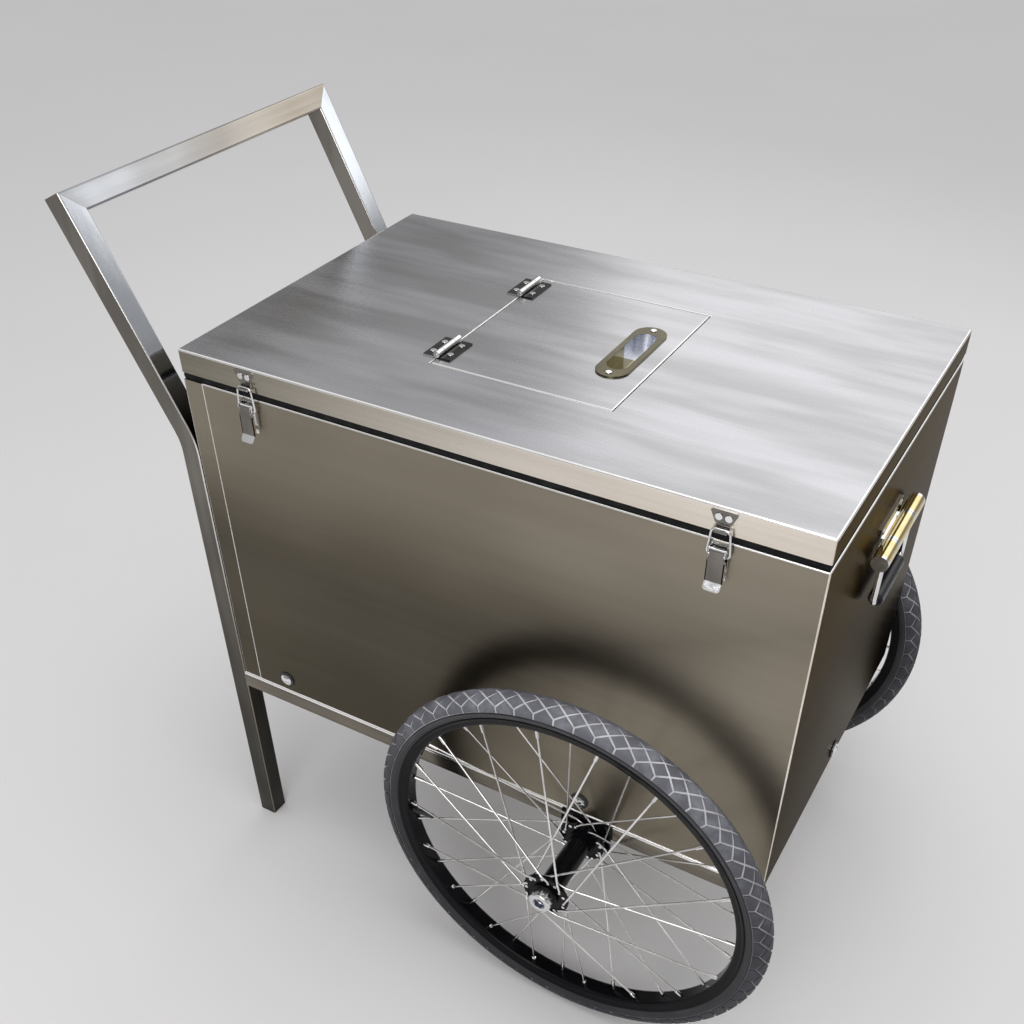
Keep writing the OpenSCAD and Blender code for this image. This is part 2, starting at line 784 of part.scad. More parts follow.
module flush_pull() {
    floor_z = lid_top - recess_d;
    color([0.62, 0.58, 0.50]) difference() {
        union() {
            translate([pull_x, 0, lid_top]) linear_extrude(pull_t) stadium(pull_l, pull_w);
            pull_cut(cup_t, floor_z - cup_t, lid_top + pull_t / 2);
        }
        pull_cut(0, floor_z, lid_top + pull_t + 1);
        pull_screw_places() rivet_hole(pull_t);
    }
}

module pull_screw_places() {
    for (s = [-1, 1]) translate([pull_x, s * pull_screw_y, lid_top + pull_t]) children();
}

// Rivets of each body, with the pivot rivets of the latches

module box_rivets() {
    color([0.70, 0.70, 0.70]) {
        lid_hinge_rivet_places(-1) rivet(leaf_t + sheet);
        latch_base_rivet_places() rivet(latch_t + sheet);
        for (x = latch_xs) at_latch(x) translate([0, pivot_out, pivot_z])
            rod_x(latch_pin_r, latch_base_w + 1);
        front_handle_rivet_places() rivet(grip_plate_t + sheet);
    }
}

module lid_rivets() {
    color([0.70, 0.70, 0.70]) {
        lid_hinge_rivet_places(1) rivet(leaf_t + sheet);
        keeper_rivet_places() rivet(latch_t + sheet, keeper_head_r);
        hatch_hinge_rivet_places(-1) rivet(leaf_t + sheet);
    }
}

module hatch_rivets() {
    color([0.70, 0.70, 0.70]) {
        hatch_hinge_rivet_places(1) rivet(leaf_t + hatch_t);
        pull_screw_places() rivet(pull_t + hatch_t);
    }
}

// Draw latches, in the latch frame: +Y outward from the panel, z = 0 at the middle of the seam

module latch_base_rivet_places() {
    for (x = latch_xs, z = base_rivet_zs) at_latch(x)
        translate([0, latch_t, z]) rotate([-90, 0, 0]) children();
}

module keeper_rivet_places() {
    for (x = latch_xs, s = [-1, 1]) {
        at_latch(x) translate([s * keeper_rivet_x, latch_t, keeper_z]) rotate([-90, 0, 0]) children();
    }
}

module latch_bases() {
    color([0.74, 0.74, 0.73]) difference() {
        for (x = latch_xs) at_latch(x) difference() {
            union() {
                block([-latch_base_w / 2, 0, latch_base_foot], [latch_base_w / 2, latch_t, pivot_z + 6]);
                for (s = [-1, 1]) translate([s * (cheek_in + cheek_t / 2), 0, pivot_z]) {
                    translate([0, pivot_out, 0]) rod_x(cheek_r, cheek_t);
                    block([-cheek_t / 2, 0, -cheek_r], [cheek_t / 2, pivot_out, cheek_r]);
                }
            }
            translate([0, pivot_out, pivot_z]) rod_x(latch_pin_r + fixed_fit, 2 * latch_base_w);
        }
        latch_base_rivet_places() rivet_hole(latch_t);
    }
}

module latch_keepers() {
    foot = keeper_neck / 2;
    ear = keeper_w / 2;
    head = keeper_h / 2;
    color([0.76, 0.76, 0.75]) difference() {
        for (x = latch_xs) at_latch(x) {
            translate([0, latch_t, keeper_z]) rotate([90, 0, 0]) linear_extrude(latch_t) polygon([
                [-foot, -head], [foot, -head], [ear, head - keeper_nip], [ear - keeper_nip, head],
                [keeper_nip - ear, head], [-ear, head - keeper_nip]
            ]);
            block([-hook_w / 2, 0, hook_up], [hook_w / 2, latch_t, keeper_z]);
            translate([0, hook_out, hook_up]) along_x(hook_w) difference() {
                circle(hook_r + latch_t);
                circle(hook_r);
                translate([-big / 2, 0]) square(big);
            }
        }
        keeper_rivet_places() rivet_hole(latch_t);
    }
}

module latch_lever(x) {
    barrel_w = 2 * cheek_in - 2 * pass_gap;
    neck = barrel_w / 2 - lever_step;
    web = barrel_w / 2 - 2 * lever_step;
    tab = lever_w / 2 - lever_step;
    neck_in = lever_out + lever_step / 2;
    neck_out = lever_out + latch_t - lever_step / 2;
    color([0.77, 0.77, 0.76]) at_latch(x) difference() {
        union() {
            translate([0, pivot_out, pivot_z]) rod_x(lever_barrel_r, barrel_w);
            translate([0, hook_out, bail_foot]) rod_x(lever_barrel_r, barrel_w);
            block([-web, hook_out, bail_foot - 1 - lever_step],
                  [web, lever_out + latch_t / 3, bail_foot + 1]);
            block([-web, pivot_out - 1, bail_foot], [web, pivot_out + 1, pivot_z]);
            block([-lever_w / 2, lever_out, lever_foot], [lever_w / 2, lever_out + latch_t, bail_foot - 1]);
            block([-neck, neck_in, bail_foot - 2], [neck, neck_out, pivot_z]);
            translate([0, lever_out + latch_t / 2, lever_foot]) rotate([lever_tab_lean, 0, 0])
                block([-tab, -latch_t / 2, -lever_tab], [tab, latch_t / 2, latch_t / 3]);
        }
        translate([0, pivot_out, pivot_z]) rod_x(latch_pin_r + run_fit, 2 * lever_w);
        translate([0, hook_out, bail_foot]) rod_x(bail_wire / 2 + run_fit, 2 * lever_w);
    }
}

module latch_bail(x) {
    r = bail_wire / 2;
    corner = 4;
    color([0.80, 0.80, 0.79]) at_latch(x) translate([0, hook_out, bail_foot + bail_l / 2]) {
        for (s = [-1, 1]) {
            translate([0, 0, s * bail_l / 2]) rod_x(r, bail_w - 2 * corner);
            translate([s * bail_w / 2, 0, 0]) cylinder(r = r, h = bail_l - 2 * corner, center = true);
        }
        for (q = [0:3]) rotate([0, -90 * q, 0]) {
            arm = q % 2 == 0 ? [bail_w, bail_l] : [bail_l, bail_w];
            translate([arm[0] / 2 - corner, 0, arm[1] / 2 - corner]) rotate([90, 0, 0])
                rotate_extrude(angle = 90) translate([corner, 0]) circle(r);
        }
    }
}

// Front handle: a fixed middle knuckle on the back plate, and outer sleeves that turn with the bail

module front_handle_rivet_places() {
    for (y = [-1, 1], z = [-1, 1]) {
        translate([box_l + grip_plate_t, y * grip_rivet_y, grip_z + z * grip_rivet_z])
            rotate([0, 90, 0]) children();
    }
}

module front_handle_plate() {
    color([0.78, 0.76, 0.70]) difference() {
        union() {
            block([box_l, -grip_plate_w / 2, grip_z - grip_plate_h / 2],
                  [box_l + grip_plate_t, grip_plate_w / 2, grip_z + grip_plate_h / 2]);
            block([box_l + 1, -knuckle_l / 2, grip_z - barrel_r / 2],
                  [grip_x, knuckle_l / 2, grip_z + barrel_r / 2]);
            translate([grip_x, 0, grip_z]) rod_y(barrel_r, knuckle_l);
        }
        translate([grip_x, 0, grip_z]) rod_y(grip_rod / 2 + run_fit, 2 * knuckle_l);
        front_handle_rivet_places() rivet_hole(grip_plate_t);
    }
}

module front_handle_bail() {
    r = grip_rod / 2;
    corner_y = grip_bail_w / 2 - grip_corner;
    bar_z = -grip_bail_l;
    sleeve_in = knuckle_l / 2 + pass_gap;
    color([0.80, 0.78, 0.72]) translate([grip_x, 0, grip_z]) {
        rod_y(r, barrel_l - 2);
        translate([0, 0, bar_z]) rod_y(r, 2 * corner_y);
        for (s = [-1, 1]) {
            translate([0, s * (sleeve_in + barrel_l / 2) / 2, 0]) rod_y(barrel_r, barrel_l / 2 - sleeve_in);
            translate([0, s * grip_bail_w / 2, bar_z + grip_corner])
                cylinder(r = r, h = grip_bail_l - grip_corner);
            translate([0, s * corner_y, bar_z + grip_corner])
                rotate([0, 90, 0]) rotate([0, 0, s > 0 ? 0 : -90])
                    rotate_extrude(angle = 90) translate([grip_corner, 0]) circle(r);
        }
    }
}

module front_handle_grip() {
    color([0.03, 0.03, 0.03]) translate([grip_x, 0, grip_z - grip_bail_l]) difference() {
        rod_y(sleeve_d / 2, sleeve_l);
        rod_y(grip_rod / 2 + fixed_fit, sleeve_l + 2);
    }
}

// Wheels, in the wheel frame: z along the axle, positive outward

module tyre(side) {
    color([0.20, 0.21, 0.23]) at_wheel(side) rotate_extrude() {
        difference() {
            translate([tyre_ring, 0]) circle(tyre_r);
            translate([tyre_ring, 0]) circle(tyre_r - tyre_t);
            translate([0, -bead_in]) square([tyre_ring - tyre_t, 2 * bead_in]);
            translate([0, -big / 2]) square([rim_out - pass_gap, big]);
        }
        for (z = [-bead_out, bead_in]) translate([rim_in + rim_t + pass_gap, z])
            square([rim_h - rim_t - pass_gap, bead_out - bead_in]);
    }
}

module inner_tube(side) {
    color([0.08, 0.08, 0.08]) at_wheel(side) {
        rotate_extrude() translate([tyre_ring, 0]) circle(tyre_r - tyre_t - tube_gap);
        rotate([0, 0, valve_turn]) translate([rim_in - valve_l, 0, 0]) rotate([0, 90, 0])
            cylinder(r = valve_r, h = tyre_ring - rim_in + valve_l);
    }
}

module rim(side) {
    color([0.03, 0.03, 0.03]) at_wheel(side) difference() {
        rotate_extrude() polygon([
            [rim_in, -rim_w / 2 + rim_edge], [rim_in, rim_w / 2 - rim_edge],
            [rim_in + rim_edge, rim_w / 2], [rim_out, rim_w / 2],
            [rim_out, rim_w / 2 - rim_t], [rim_in + rim_t, rim_w / 2 - rim_t],
            [rim_in + rim_t, -rim_w / 2 + rim_t], [rim_out, -rim_w / 2 + rim_t],
            [rim_out, -rim_w / 2], [rim_in + rim_edge, -rim_w / 2]
        ]);
        rotate([0, 0, valve_turn]) rotate([0, 90, 0]) cylinder(r = valve_r + pass_gap, h = rim_out);
    }
}

// A rod of radius r between two points
module rod(a, b, r) {
    d = b - a;
    translate(a) rotate([0, acos(d[2] / norm(d)), atan2(d[1], d[0])]) cylinder(r = r, h = norm(d));
}

function polar(r, turn, z) = [r * cos(turn), r * sin(turn), z];

// Flange holes, alternate flanges offset by half a step
function hole_turn(s, i) = hole_step * (i + (s > 0 ? 0 : 0.5));

// Each spoke has a head and an elbow through its flange hole, runs flat along the flange past its edge,
// and then runs straight to a nipple at the rim
module spokes(side) {
    r = spoke_d / 2;
    knee_r = r + spoke_knee;
    color([0.80, 0.80, 0.79]) at_wheel(side) for (s = [-1, 1], i = [0:per_flange - 1]) {
        lies = i % 2 == 0 ? 1 : -1;
        turn = hole_turn(s, i);
        face = s * flange_out + s * lies * flange_t / 2;
        head = s * flange_out - s * lies * flange_t / 2;
        hole = polar(spoke_circle, turn, face + s * lies * (r + 2 * spoke_knee));
        seat = polar(rim_in - nipple_gap, turn + lies * spoke_cross * hole_step, s * spoke_rim_out);
        run = [seat[0] - hole[0], seat[1] - hole[1], 0];
        flat = run / norm(run);
        near = hole[0] * flat[0] + hole[1] * flat[1];
        bend = hole + flat * (sqrt(pow(flange_r + spoke_d, 2) - pow(spoke_circle, 2) + pow(near, 2)) - near);
        back = (bend - seat) / norm(bend - seat);
        head_in = polar(spoke_circle, turn, head);
        head_out = polar(spoke_circle, turn, head - s * lies * spoke_head_t);
        elbow = polar(spoke_circle, turn, face);
        elbow_in = polar(spoke_circle, turn, face + s * lies * spoke_knee);
        elbow_top = polar(spoke_circle, turn, face + s * lies * (spoke_d + 3 * spoke_knee));
        rod(head_out, head_in, r + 1);
        rod(head_in, elbow_in, r);
        rod(elbow, elbow_top, knee_r);
        rod(hole, bend - spoke_lap * flat, r);
        rod(bend + back, bend - back, knee_r);
        rod(bend - spoke_lap * back, seat, r);
        rod(seat + nipple_l * back, seat, nipple_r);
    }
}

module hub(side) {
    boss_in = hub_half - bearing_w - 4;
    seat = hub_half - bearing_w - 1.5;
    bore = inner_ring_r + 1.5;
    color([0.03, 0.03, 0.03]) at_wheel(side) difference() {
        union() {
            rod_z(hub_r, 2 * hub_half - 4);
            for (s = [-1, 1]) {
                translate([0, 0, s * (hub_half + boss_in) / 2]) rod_z(hub_boss_r, hub_half - boss_in);
                translate([0, 0, s * flange_out]) rod_z(flange_r, flange_t);
            }
        }
        rod_z(bore, 2 * hub_half + 2);
        for (s = [-1, 1]) {
            translate([0, 0, s * (seat + hub_half) / 2 + s])
                rod_z(bearing_r + fixed_fit, hub_half - seat + 2);
            for (i = [0:per_flange - 1]) rotate([0, 0, hole_turn(s, i)])
                translate([spoke_circle, 0, s * flange_out]) rod_z(spoke_d / 2 + fixed_fit, flange_t + 2);
        }
    }
}

module rod_z(r, l) { cylinder(r = r, h = l, center = true); }

module bearings(side) {
    color([0.72, 0.72, 0.72]) at_wheel(side) for (s = [-1, 1]) translate([0, 0, s * bearing_out]) {
        rotate_extrude() difference() {
            translate([outer_ring_r, -bearing_w / 2]) square([bearing_r - outer_ring_r, bearing_w]);
            translate([ball_ring, 0]) circle(ball_r + run_fit);
        }
        for (i = [0:ball_count - 1]) rotate([0, 0, 360 / ball_count * i])
            translate([ball_ring, 0, 0]) sphere(ball_r);
    }
}

module placed() { translate([-cart_mid, 0, 0]) children(); }

placed() leg_tube(right);  // right_leg_tube
placed() leg_tube(left);  // left_leg_tube
placed() push_bar();
placed() leg_end_caps();
placed() base_rail(right);  // right_base_rail
placed() base_rail(left);  // left_base_rail
placed() base_crossmembers();
placed() axle_shaft();
placed() axle_brackets();
placed() axle_nuts();
placed() bearing_inner_rings();
placed() side_panel(right);  // right_side_panel
placed() side_panel(left);  // left_side_panel
placed() front_panel();
placed() rear_panel();
placed() floor_panel();
placed() inner_liner();
placed() wall_insulation();
placed() box_rim();
placed() lid_gasket();
placed() body_bolts();
placed() latch_bases();
placed() lid_hinge_box_leaves();
placed() lid_hinge_pins();
placed() front_handle_plate();
placed() box_rivets();
placed() lid_skin();
placed() lid_liner();
placed() lid_insulation();
placed() hatch_frame();
placed() hatch_gasket();
placed() lid_hinge_lid_leaves();
placed() latch_keepers();
placed() hatch_hinge_lid_leaves();
placed() hatch_hinge_pins();
placed() lid_rivets();
placed() hatch_plate();
placed() hatch_insulation();
placed() hatch_pan();
placed() flush_pull();
placed() hatch_hinge_leaves();
placed() hatch_rivets();
placed() latch_lever(latch_xs[0]);  // rear_latch_lever
placed() latch_lever(latch_xs[1]);  // front_latch_lever
placed() latch_bail(latch_xs[0]);  // rear_latch_bail
placed() latch_bail(latch_xs[1]);  // front_latch_bail
placed() front_handle_bail();
placed() front_handle_grip();
placed() tyre(right);  // right_tyre
placed() inner_tube(right);  // right_inner_tube
placed() rim(right);  // right_rim
placed() spokes(right);  // right_spokes
placed() hub(right);  // right_hub
placed() bearings(right);  // right_bearings
placed() tyre(left);  // left_tyre
placed() inner_tube(left);  // left_inner_tube
placed() rim(left);  // left_rim
placed() spokes(left);  // left_spokes
placed() hub(left);  // left_hub
placed() bearings(left);  // left_bearings
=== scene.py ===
import math

import bmesh
import bpy
from mathutils import Matrix, Vector, noise


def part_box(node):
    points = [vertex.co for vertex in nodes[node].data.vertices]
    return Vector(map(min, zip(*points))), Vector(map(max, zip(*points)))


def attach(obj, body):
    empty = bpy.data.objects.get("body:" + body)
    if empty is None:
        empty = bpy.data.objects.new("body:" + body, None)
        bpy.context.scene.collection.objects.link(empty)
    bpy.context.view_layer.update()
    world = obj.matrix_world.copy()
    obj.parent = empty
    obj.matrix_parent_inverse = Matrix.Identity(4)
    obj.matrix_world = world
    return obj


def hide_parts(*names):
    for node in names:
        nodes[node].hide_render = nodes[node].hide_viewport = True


mm = 0.001
near = 0.05 * mm  # two places closer than this are one
weld = 0.004 * mm  # points of a copied mesh closer than this are merged
skin = 0.2  # mm that a face may lie off the surface it belongs to
bend = 38  # degrees, from which a fitting's edges are rounded
longEdge = 100 * mm  # a run of a sheet, not a rivet hole or a corner
# the share of a face's normal along an axis, from which it counts as facing that way
slope = {"flat": 0.985, "square": 0.9, "front": 0.8, "steep": 0.7, "half": 0.5, "slight": 0.15}
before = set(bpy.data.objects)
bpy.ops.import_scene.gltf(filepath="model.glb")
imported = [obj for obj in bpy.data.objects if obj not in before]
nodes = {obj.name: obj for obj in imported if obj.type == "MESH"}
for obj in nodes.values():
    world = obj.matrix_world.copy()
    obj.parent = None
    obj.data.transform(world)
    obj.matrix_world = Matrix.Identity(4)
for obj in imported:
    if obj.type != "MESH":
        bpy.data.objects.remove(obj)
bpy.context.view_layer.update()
print("frame loaded:", len(nodes), "nodes")


class Wire:  # an output socket that takes part in sums
    def __init__(self, tree, socket):
        self.tree = tree
        self.socket = socket

    def maths(self, operation, first, second):
        return self.tree.node("ShaderNodeMath", {"operation": operation}, {0: first, 1: second})

    def __add__(self, other):
        return self.maths("ADD", self, other)

    def __sub__(self, other):
        return self.maths("SUBTRACT", self, other)

    def __rsub__(self, other):
        return self.maths("SUBTRACT", other, self)

    def __mul__(self, other):
        return self.maths("MULTIPLY", self, other)

    __radd__ = __add__
    __rmul__ = __mul__


class Tree:  # a node tree and the ways to add to it
    def __init__(self, owner):
        owner.use_nodes = True
        self.tree = owner.node_tree

    def feed(self, socket, value):
        if isinstance(value, Wire):
            self.tree.links.new(value.socket, socket)
        else:
            socket.default_value = value

    def node(self, kind, settings, sockets, output=0):
        made = self.tree.nodes.new(kind)
        for key, value in settings.items():
            setattr(made, key, value)
        for key, value in sockets.items():
            self.feed(made.inputs[key], value)
        return Wire(self, made.outputs[output])

    def band(self, value, low, high):  # 0 below low, 1 above high
        sockets = {"Value": value, "From Min": low, "From Max": high}
        return self.node("ShaderNodeMapRange", {"interpolation_type": "SMOOTHSTEP"}, sockets)

    def blend(self, factor, first, second):
        return self.node("ShaderNodeMix", {"data_type": "RGBA"}, {0: factor, 6: first, 7: second}, 2)


class Finish(Tree):  # a material on object coordinates
    def __init__(self, name, fixed):
        self.material = bpy.data.materials.new(name)
        super().__init__(self.material)
        self.shader = self.tree.nodes["Principled BSDF"]
        for key, value in fixed.items():
            self.shader.inputs[key].default_value = value
        self.place = self.node("ShaderNodeTexCoord", {}, {}, "Object")

    def noise(self, scale, stretch=(1, 1, 1), detail=3.0, rough=0.55):
        spot = self.node("ShaderNodeMapping", {}, {"Vector": self.place, "Scale": stretch})
        sockets = {"Vector": spot, "Scale": scale, "Detail": detail, "Roughness": rough}
        return self.node("ShaderNodeTexNoise", {}, sockets)

    def along(self, axis, rise):  # 0 to 1 on the way along an axis
        sockets = {0: self.place, 1: axis}
        reach = self.node("ShaderNodeVectorMath", {"operation": "DOT_PRODUCT"}, sockets, "Value")
        return self.band(reach, *rise)

    def give(self, name, value):
        self.feed(self.shader.inputs[name], value)

    def bump(self, height, strength, distance):
        sockets = {"Strength": strength, "Distance": distance, "Height": height}
        self.give("Normal", self.node("ShaderNodeBump", {}, sockets))


def rgb(red, green, blue):
    return (red, green, blue, 1.0)


def graded(finish, look, tone):  # from dark to light by the tone, and blended into the low colours at the low end of an axis: a painted light and shade gradient
    colour = finish.blend(tone, look["dark"], look["light"])
    if "low" not in look:
        return colour
    paintedLight = finish.along(look["axis"], look["rise"])
    # a second axis keeps the main colours towards its far end as well: more painted light there
    if "front" in look:
        paintedLight = paintedLight.maths("MAXIMUM", paintedLight, finish.along(*look["front"]))
    return finish.blend(paintedLight, finish.blend(tone, *look["low"]), colour)


brushing = {"hair": 640, "streak": 70, "ripple": 3.4, "tone": (0.34, 0.66), "hairShare": 0.6,
            "strength": 0.6, "depth": 0.001}


def brushed(name, look):  # sheet or tube with a drawn grain, soft streaks and a slight ripple
    finish = Finish(name, {"Metallic": 1.0, "Specular Tint": look["glance"]})
    hair = finish.noise(brushing["hair"], look["grain"], detail=2.0)
    streak = finish.noise(brushing["streak"], look["grain"], detail=4.0, rough=0.6)
    cloud = finish.noise(look["cloud"], look["drift"], detail=2.0)
    ripple = finish.noise(brushing["ripple"], look["drift"], detail=1.0)
    tone = finish.band(look["streak"] * streak + (1 - look["streak"]) * cloud, *brushing["tone"])
    finish.give("Base Color", graded(finish, look, tone))
    share = brushing["hairShare"]
    finish.give("Roughness", look["rough"] + look["spread"] * (share * hair + (1 - share) * cloud - 0.5))
    finish.bump(look["hair"] * hair + look["ripple"] * ripple, brushing["strength"], brushing["depth"])
    return finish


plain = rgb(1, 1, 1)
# the side panels go to the low colours below the rise, painted shade for the dark ground they reflect; the
# front axis keeps them light towards the front and bottom, a painted reflection of the floor
panelLook = {"grain": (0.02, 1, 1), "cloud": 2.2, "drift": (1, 1, 1.6), "streak": 0.15,
             "dark": rgb(0.245, 0.216, 0.168), "light": rgb(0.315, 0.282, 0.224), "axis": (0, 0, 1),
             "low": (rgb(0.084, 0.074, 0.056), rgb(0.116, 0.103, 0.081)), "rise": (0.60, 0.85),
             "front": ((1, 0, -0.9), (-0.42, -0.12)),
             "rough": 0.33, "spread": 0.12, "hair": 0.03, "ripple": 0.3, "glance": rgb(0.7, 0.66, 0.58)}
# the front faces: the same sheet in a darker copy as painted shade, darker still below the rise
shadedFrontLook = {"grain": (1, 0.02, 1), "cloud": 3.0, "drift": (1, 1, 1), "streak": 0.45,
             "dark": rgb(0.215, 0.190, 0.150), "light": rgb(0.300, 0.267, 0.212), "axis": (0, 0, 1),
             "low": (rgb(0.060, 0.053, 0.040), rgb(0.095, 0.085, 0.066)), "rise": (0.56, 0.90),
             "rough": 0.2, "spread": 0.1, "hair": 0.03, "ripple": 0.25, "glance": rgb(0.20, 0.175, 0.135)}
# the lid's sides and the box's upright corner folds: a bright copy of the sheet as a painted reflection,
# going to the darker low colours towards the rear
skirtReflectionLook = {"grain": (0.02, 0.02, 1), "cloud": 4.0, "drift": (0.4, 0.4, 1), "streak": 0.3,
             "dark": rgb(0.68, 0.615, 0.53), "light": rgb(0.94, 0.875, 0.785), "axis": (1, 0, 0),
             "low": (rgb(0.20, 0.182, 0.138), rgb(0.29, 0.268, 0.214)), "rise": (-0.42, 0.44),
             "rough": 0.26, "spread": 0.12, "hair": 0.03, "ripple": 0.2, "glance": plain}
# the lid top goes to the low colours towards the rear: painted shade
lidLook = {"grain": (0.012, 1, 1), "cloud": 16.0, "drift": (0.2, 1, 1), "streak": 0.15,
           "dark": rgb(0.42, 0.42, 0.425), "light": rgb(0.58, 0.578, 0.60), "axis": (1, 0, 0),
           "low": (rgb(0.29, 0.29, 0.292), rgb(0.45, 0.448, 0.46)), "rise": (-0.34, -0.10),
           "rough": 0.27, "spread": 0.14, "hair": 0.03, "ripple": 0.4, "glance": plain}
# the legs and handle arms: light above the rise and near-black below it, painted light on the upper arms and
# painted shade on the lower legs
tubeLook = {"grain": (1, 1, 0.03), "cloud": 5.0, "drift": (1, 1, 1), "streak": 0.3,
            "dark": rgb(0.62, 0.65, 0.69), "light": rgb(0.84, 0.88, 0.93),
            "low": (rgb(0.016, 0.014, 0.011), rgb(0.050, 0.046, 0.037)),
            "axis": (0, 0, 1), "rise": (0.80, 0.93),
            "rough": 0.14, "spread": 0.1, "hair": 0.03, "ripple": 0.15, "glance": plain}
# the sides of the legs facing along y: a darker copy of the tube steel as painted shade, darker still below
# the rise
sideShadeLook = {"grain": (1, 1, 0.03), "cloud": 5.0, "drift": (1, 1, 1), "streak": 0.3,
            "dark": rgb(0.17, 0.158, 0.138), "light": rgb(0.27, 0.253, 0.225),
            "low": (rgb(0.030, 0.027, 0.020), rgb(0.070, 0.064, 0.050)),
            "axis": (0, 0, 1), "rise": (0.15, 0.95),
            "rough": 0.14, "spread": 0.1, "hair": 0.03, "ripple": 0.15, "glance": plain}
# a painted highlight line along the rounded corners of the legs, darker below the rise
cornerHighlightLook = {"grain": (1, 1, 1), "cloud": 6.0, "drift": (1, 1, 1), "streak": 0.2,
            "dark": rgb(0.80, 0.785, 0.76), "light": rgb(0.95, 0.94, 0.92),
            "low": (rgb(0.20, 0.180, 0.145), rgb(0.30, 0.272, 0.220)),
            "axis": (0, 0, 1), "rise": (0.25, 0.85),
            "rough": 0.2, "spread": 0.1, "hair": 0.0, "ripple": 0.0, "glance": plain}
# the push bar goes from the warm main colours to the paler bluish low colours along y: a painted reflection
barLook = {"grain": (1, 0.03, 1), "cloud": 5.0, "drift": (1, 1, 1), "streak": 0.3,
           "dark": rgb(0.31, 0.272, 0.222), "light": rgb(0.48, 0.44, 0.375), "axis": (0, 1, 0),
           "low": (rgb(0.40, 0.405, 0.415), rgb(0.62, 0.64, 0.67)), "rise": (-0.22, 0.18),
           "rough": 0.12, "spread": 0.1, "hair": 0.03, "ripple": 0.15, "glance": plain}
railLook = {"grain": (0.03, 1, 1), "cloud": 4.0, "drift": (1, 1, 1), "streak": 0.4,
            "dark": rgb(0.12, 0.107, 0.084), "light": rgb(0.25, 0.226, 0.185),
            "rough": 0.22, "spread": 0.14, "hair": 0.04, "ripple": 0.15, "glance": plain}
linerLook = {"grain": (1, 1, 0.03), "cloud": 3.0, "drift": (1, 1, 1), "streak": 0.4,
             "dark": rgb(0.50, 0.50, 0.50), "light": rgb(0.68, 0.68, 0.69),
             "rough": 0.32, "spread": 0.14, "hair": 0.04, "ripple": 0.3, "glance": plain}
# a dark copy for the near-facing faces of the latch keepers and levers: painted shade
nearShadeLook = {"grain": (1, 1, 0.03), "cloud": 20.0, "drift": (1, 1, 1), "streak": 0.4,
             "dark": rgb(0.155, 0.143, 0.128), "light": rgb(0.24, 0.225, 0.205),
             "rough": 0.2, "spread": 0.14, "hair": 0.03, "ripple": 0.1, "glance": plain}
# a near-white copy of the steel for the rounded folds and cut edges: a painted highlight
foldHighlightLook = {"grain": (1, 1, 1), "cloud": 6.0, "drift": (1, 1, 1), "streak": 0.2,
            "dark": rgb(0.92, 0.91, 0.88), "light": rgb(1.0, 0.99, 0.97),
            "rough": 0.2, "spread": 0.1, "hair": 0.0, "ripple": 0.0, "glance": plain}
panelSteel = brushed("panelSteel", panelLook)
frontSteel = brushed("frontSteel", shadedFrontLook)
skirtReflectionSteel = brushed("skirtReflectionSteel", skirtReflectionLook)
lidSteel = brushed("lidSteel", lidLook)
tubeSteel = brushed("tubeSteel", tubeLook)
sideShadeSteel = brushed("sideShadeSteel", sideShadeLook)
lineSteel = brushed("lineSteel", cornerHighlightLook)
barSteel = brushed("barSteel", barLook)
railSteel = brushed("railSteel", railLook)
linerSteel = brushed("linerSteel", linerLook)
plateSteel = brushed("plateSteel", nearShadeLook)
foldHighlightSteel = brushed("foldHighlightSteel", foldHighlightLook)


plating = {"film": 14, "tone": (0.3, 0.7), "marks": (0.42, 0.75), "strength": 0.12, "depth": 0.0004}


def polished(name, look):  # plated metal with handling marks
    finish = Finish(name, {"Metallic": 1.0})
    mark = finish.noise(look["mark"], detail=5.0, rough=0.65)
    film = finish.noise(plating["film"], detail=2.0)
    finish.give("Base Color", graded(finish, look, finish.band(film, *plating["tone"])))
    finish.give("Roughness", look["rough"] + look["spread"] * finish.band(mark, *plating["marks"]))
    finish.bump(mark, plating["strength"], plating["depth"])
    return finish


chromeLook = {"mark": 160, "dark": rgb(0.68, 0.68, 0.67), "light": rgb(0.88, 0.88, 0.88),
              "rough": 0.07, "spread": 0.12}
# a warm brass tone for the handle's barrel: a painted reflection on chrome
warmReflectionLook = {"mark": 160, "dark": rgb(0.70, 0.56, 0.27), "light": rgb(0.90, 0.77, 0.45),
             "rough": 0.08, "spread": 0.12}
leafLook = {"mark": 160, "dark": rgb(0.035, 0.035, 0.032), "light": rgb(0.08, 0.08, 0.075),
            "rough": 0.1, "spread": 0.12}
# the flush pull's dark olive flange, golden recess and pale far end: painted reflection tones on one plated
# part
oliveReflectionLook = {"mark": 160, "dark": rgb(0.075, 0.064, 0.034), "light": rgb(0.125, 0.110, 0.062),
             "rough": 0.12, "spread": 0.12}
cupLook = {"mark": 160, "dark": rgb(0.17, 0.146, 0.080), "light": rgb(0.28, 0.250, 0.155),
           "rough": 0.07, "spread": 0.1}
paleReflectionLook = {"mark": 160, "dark": rgb(0.56, 0.58, 0.63), "light": rgb(0.74, 0.76, 0.81),
            "rough": 0.34, "spread": 0.1}
spokeLook = {"mark": 300, "dark": rgb(0.62, 0.61, 0.60), "light": rgb(0.88, 0.87, 0.86),
             "rough": 0.07, "spread": 0.1}
zincLook = {"mark": 220, "dark": rgb(0.58, 0.58, 0.59), "light": rgb(0.80, 0.80, 0.81),
            "rough": 0.14, "spread": 0.14}
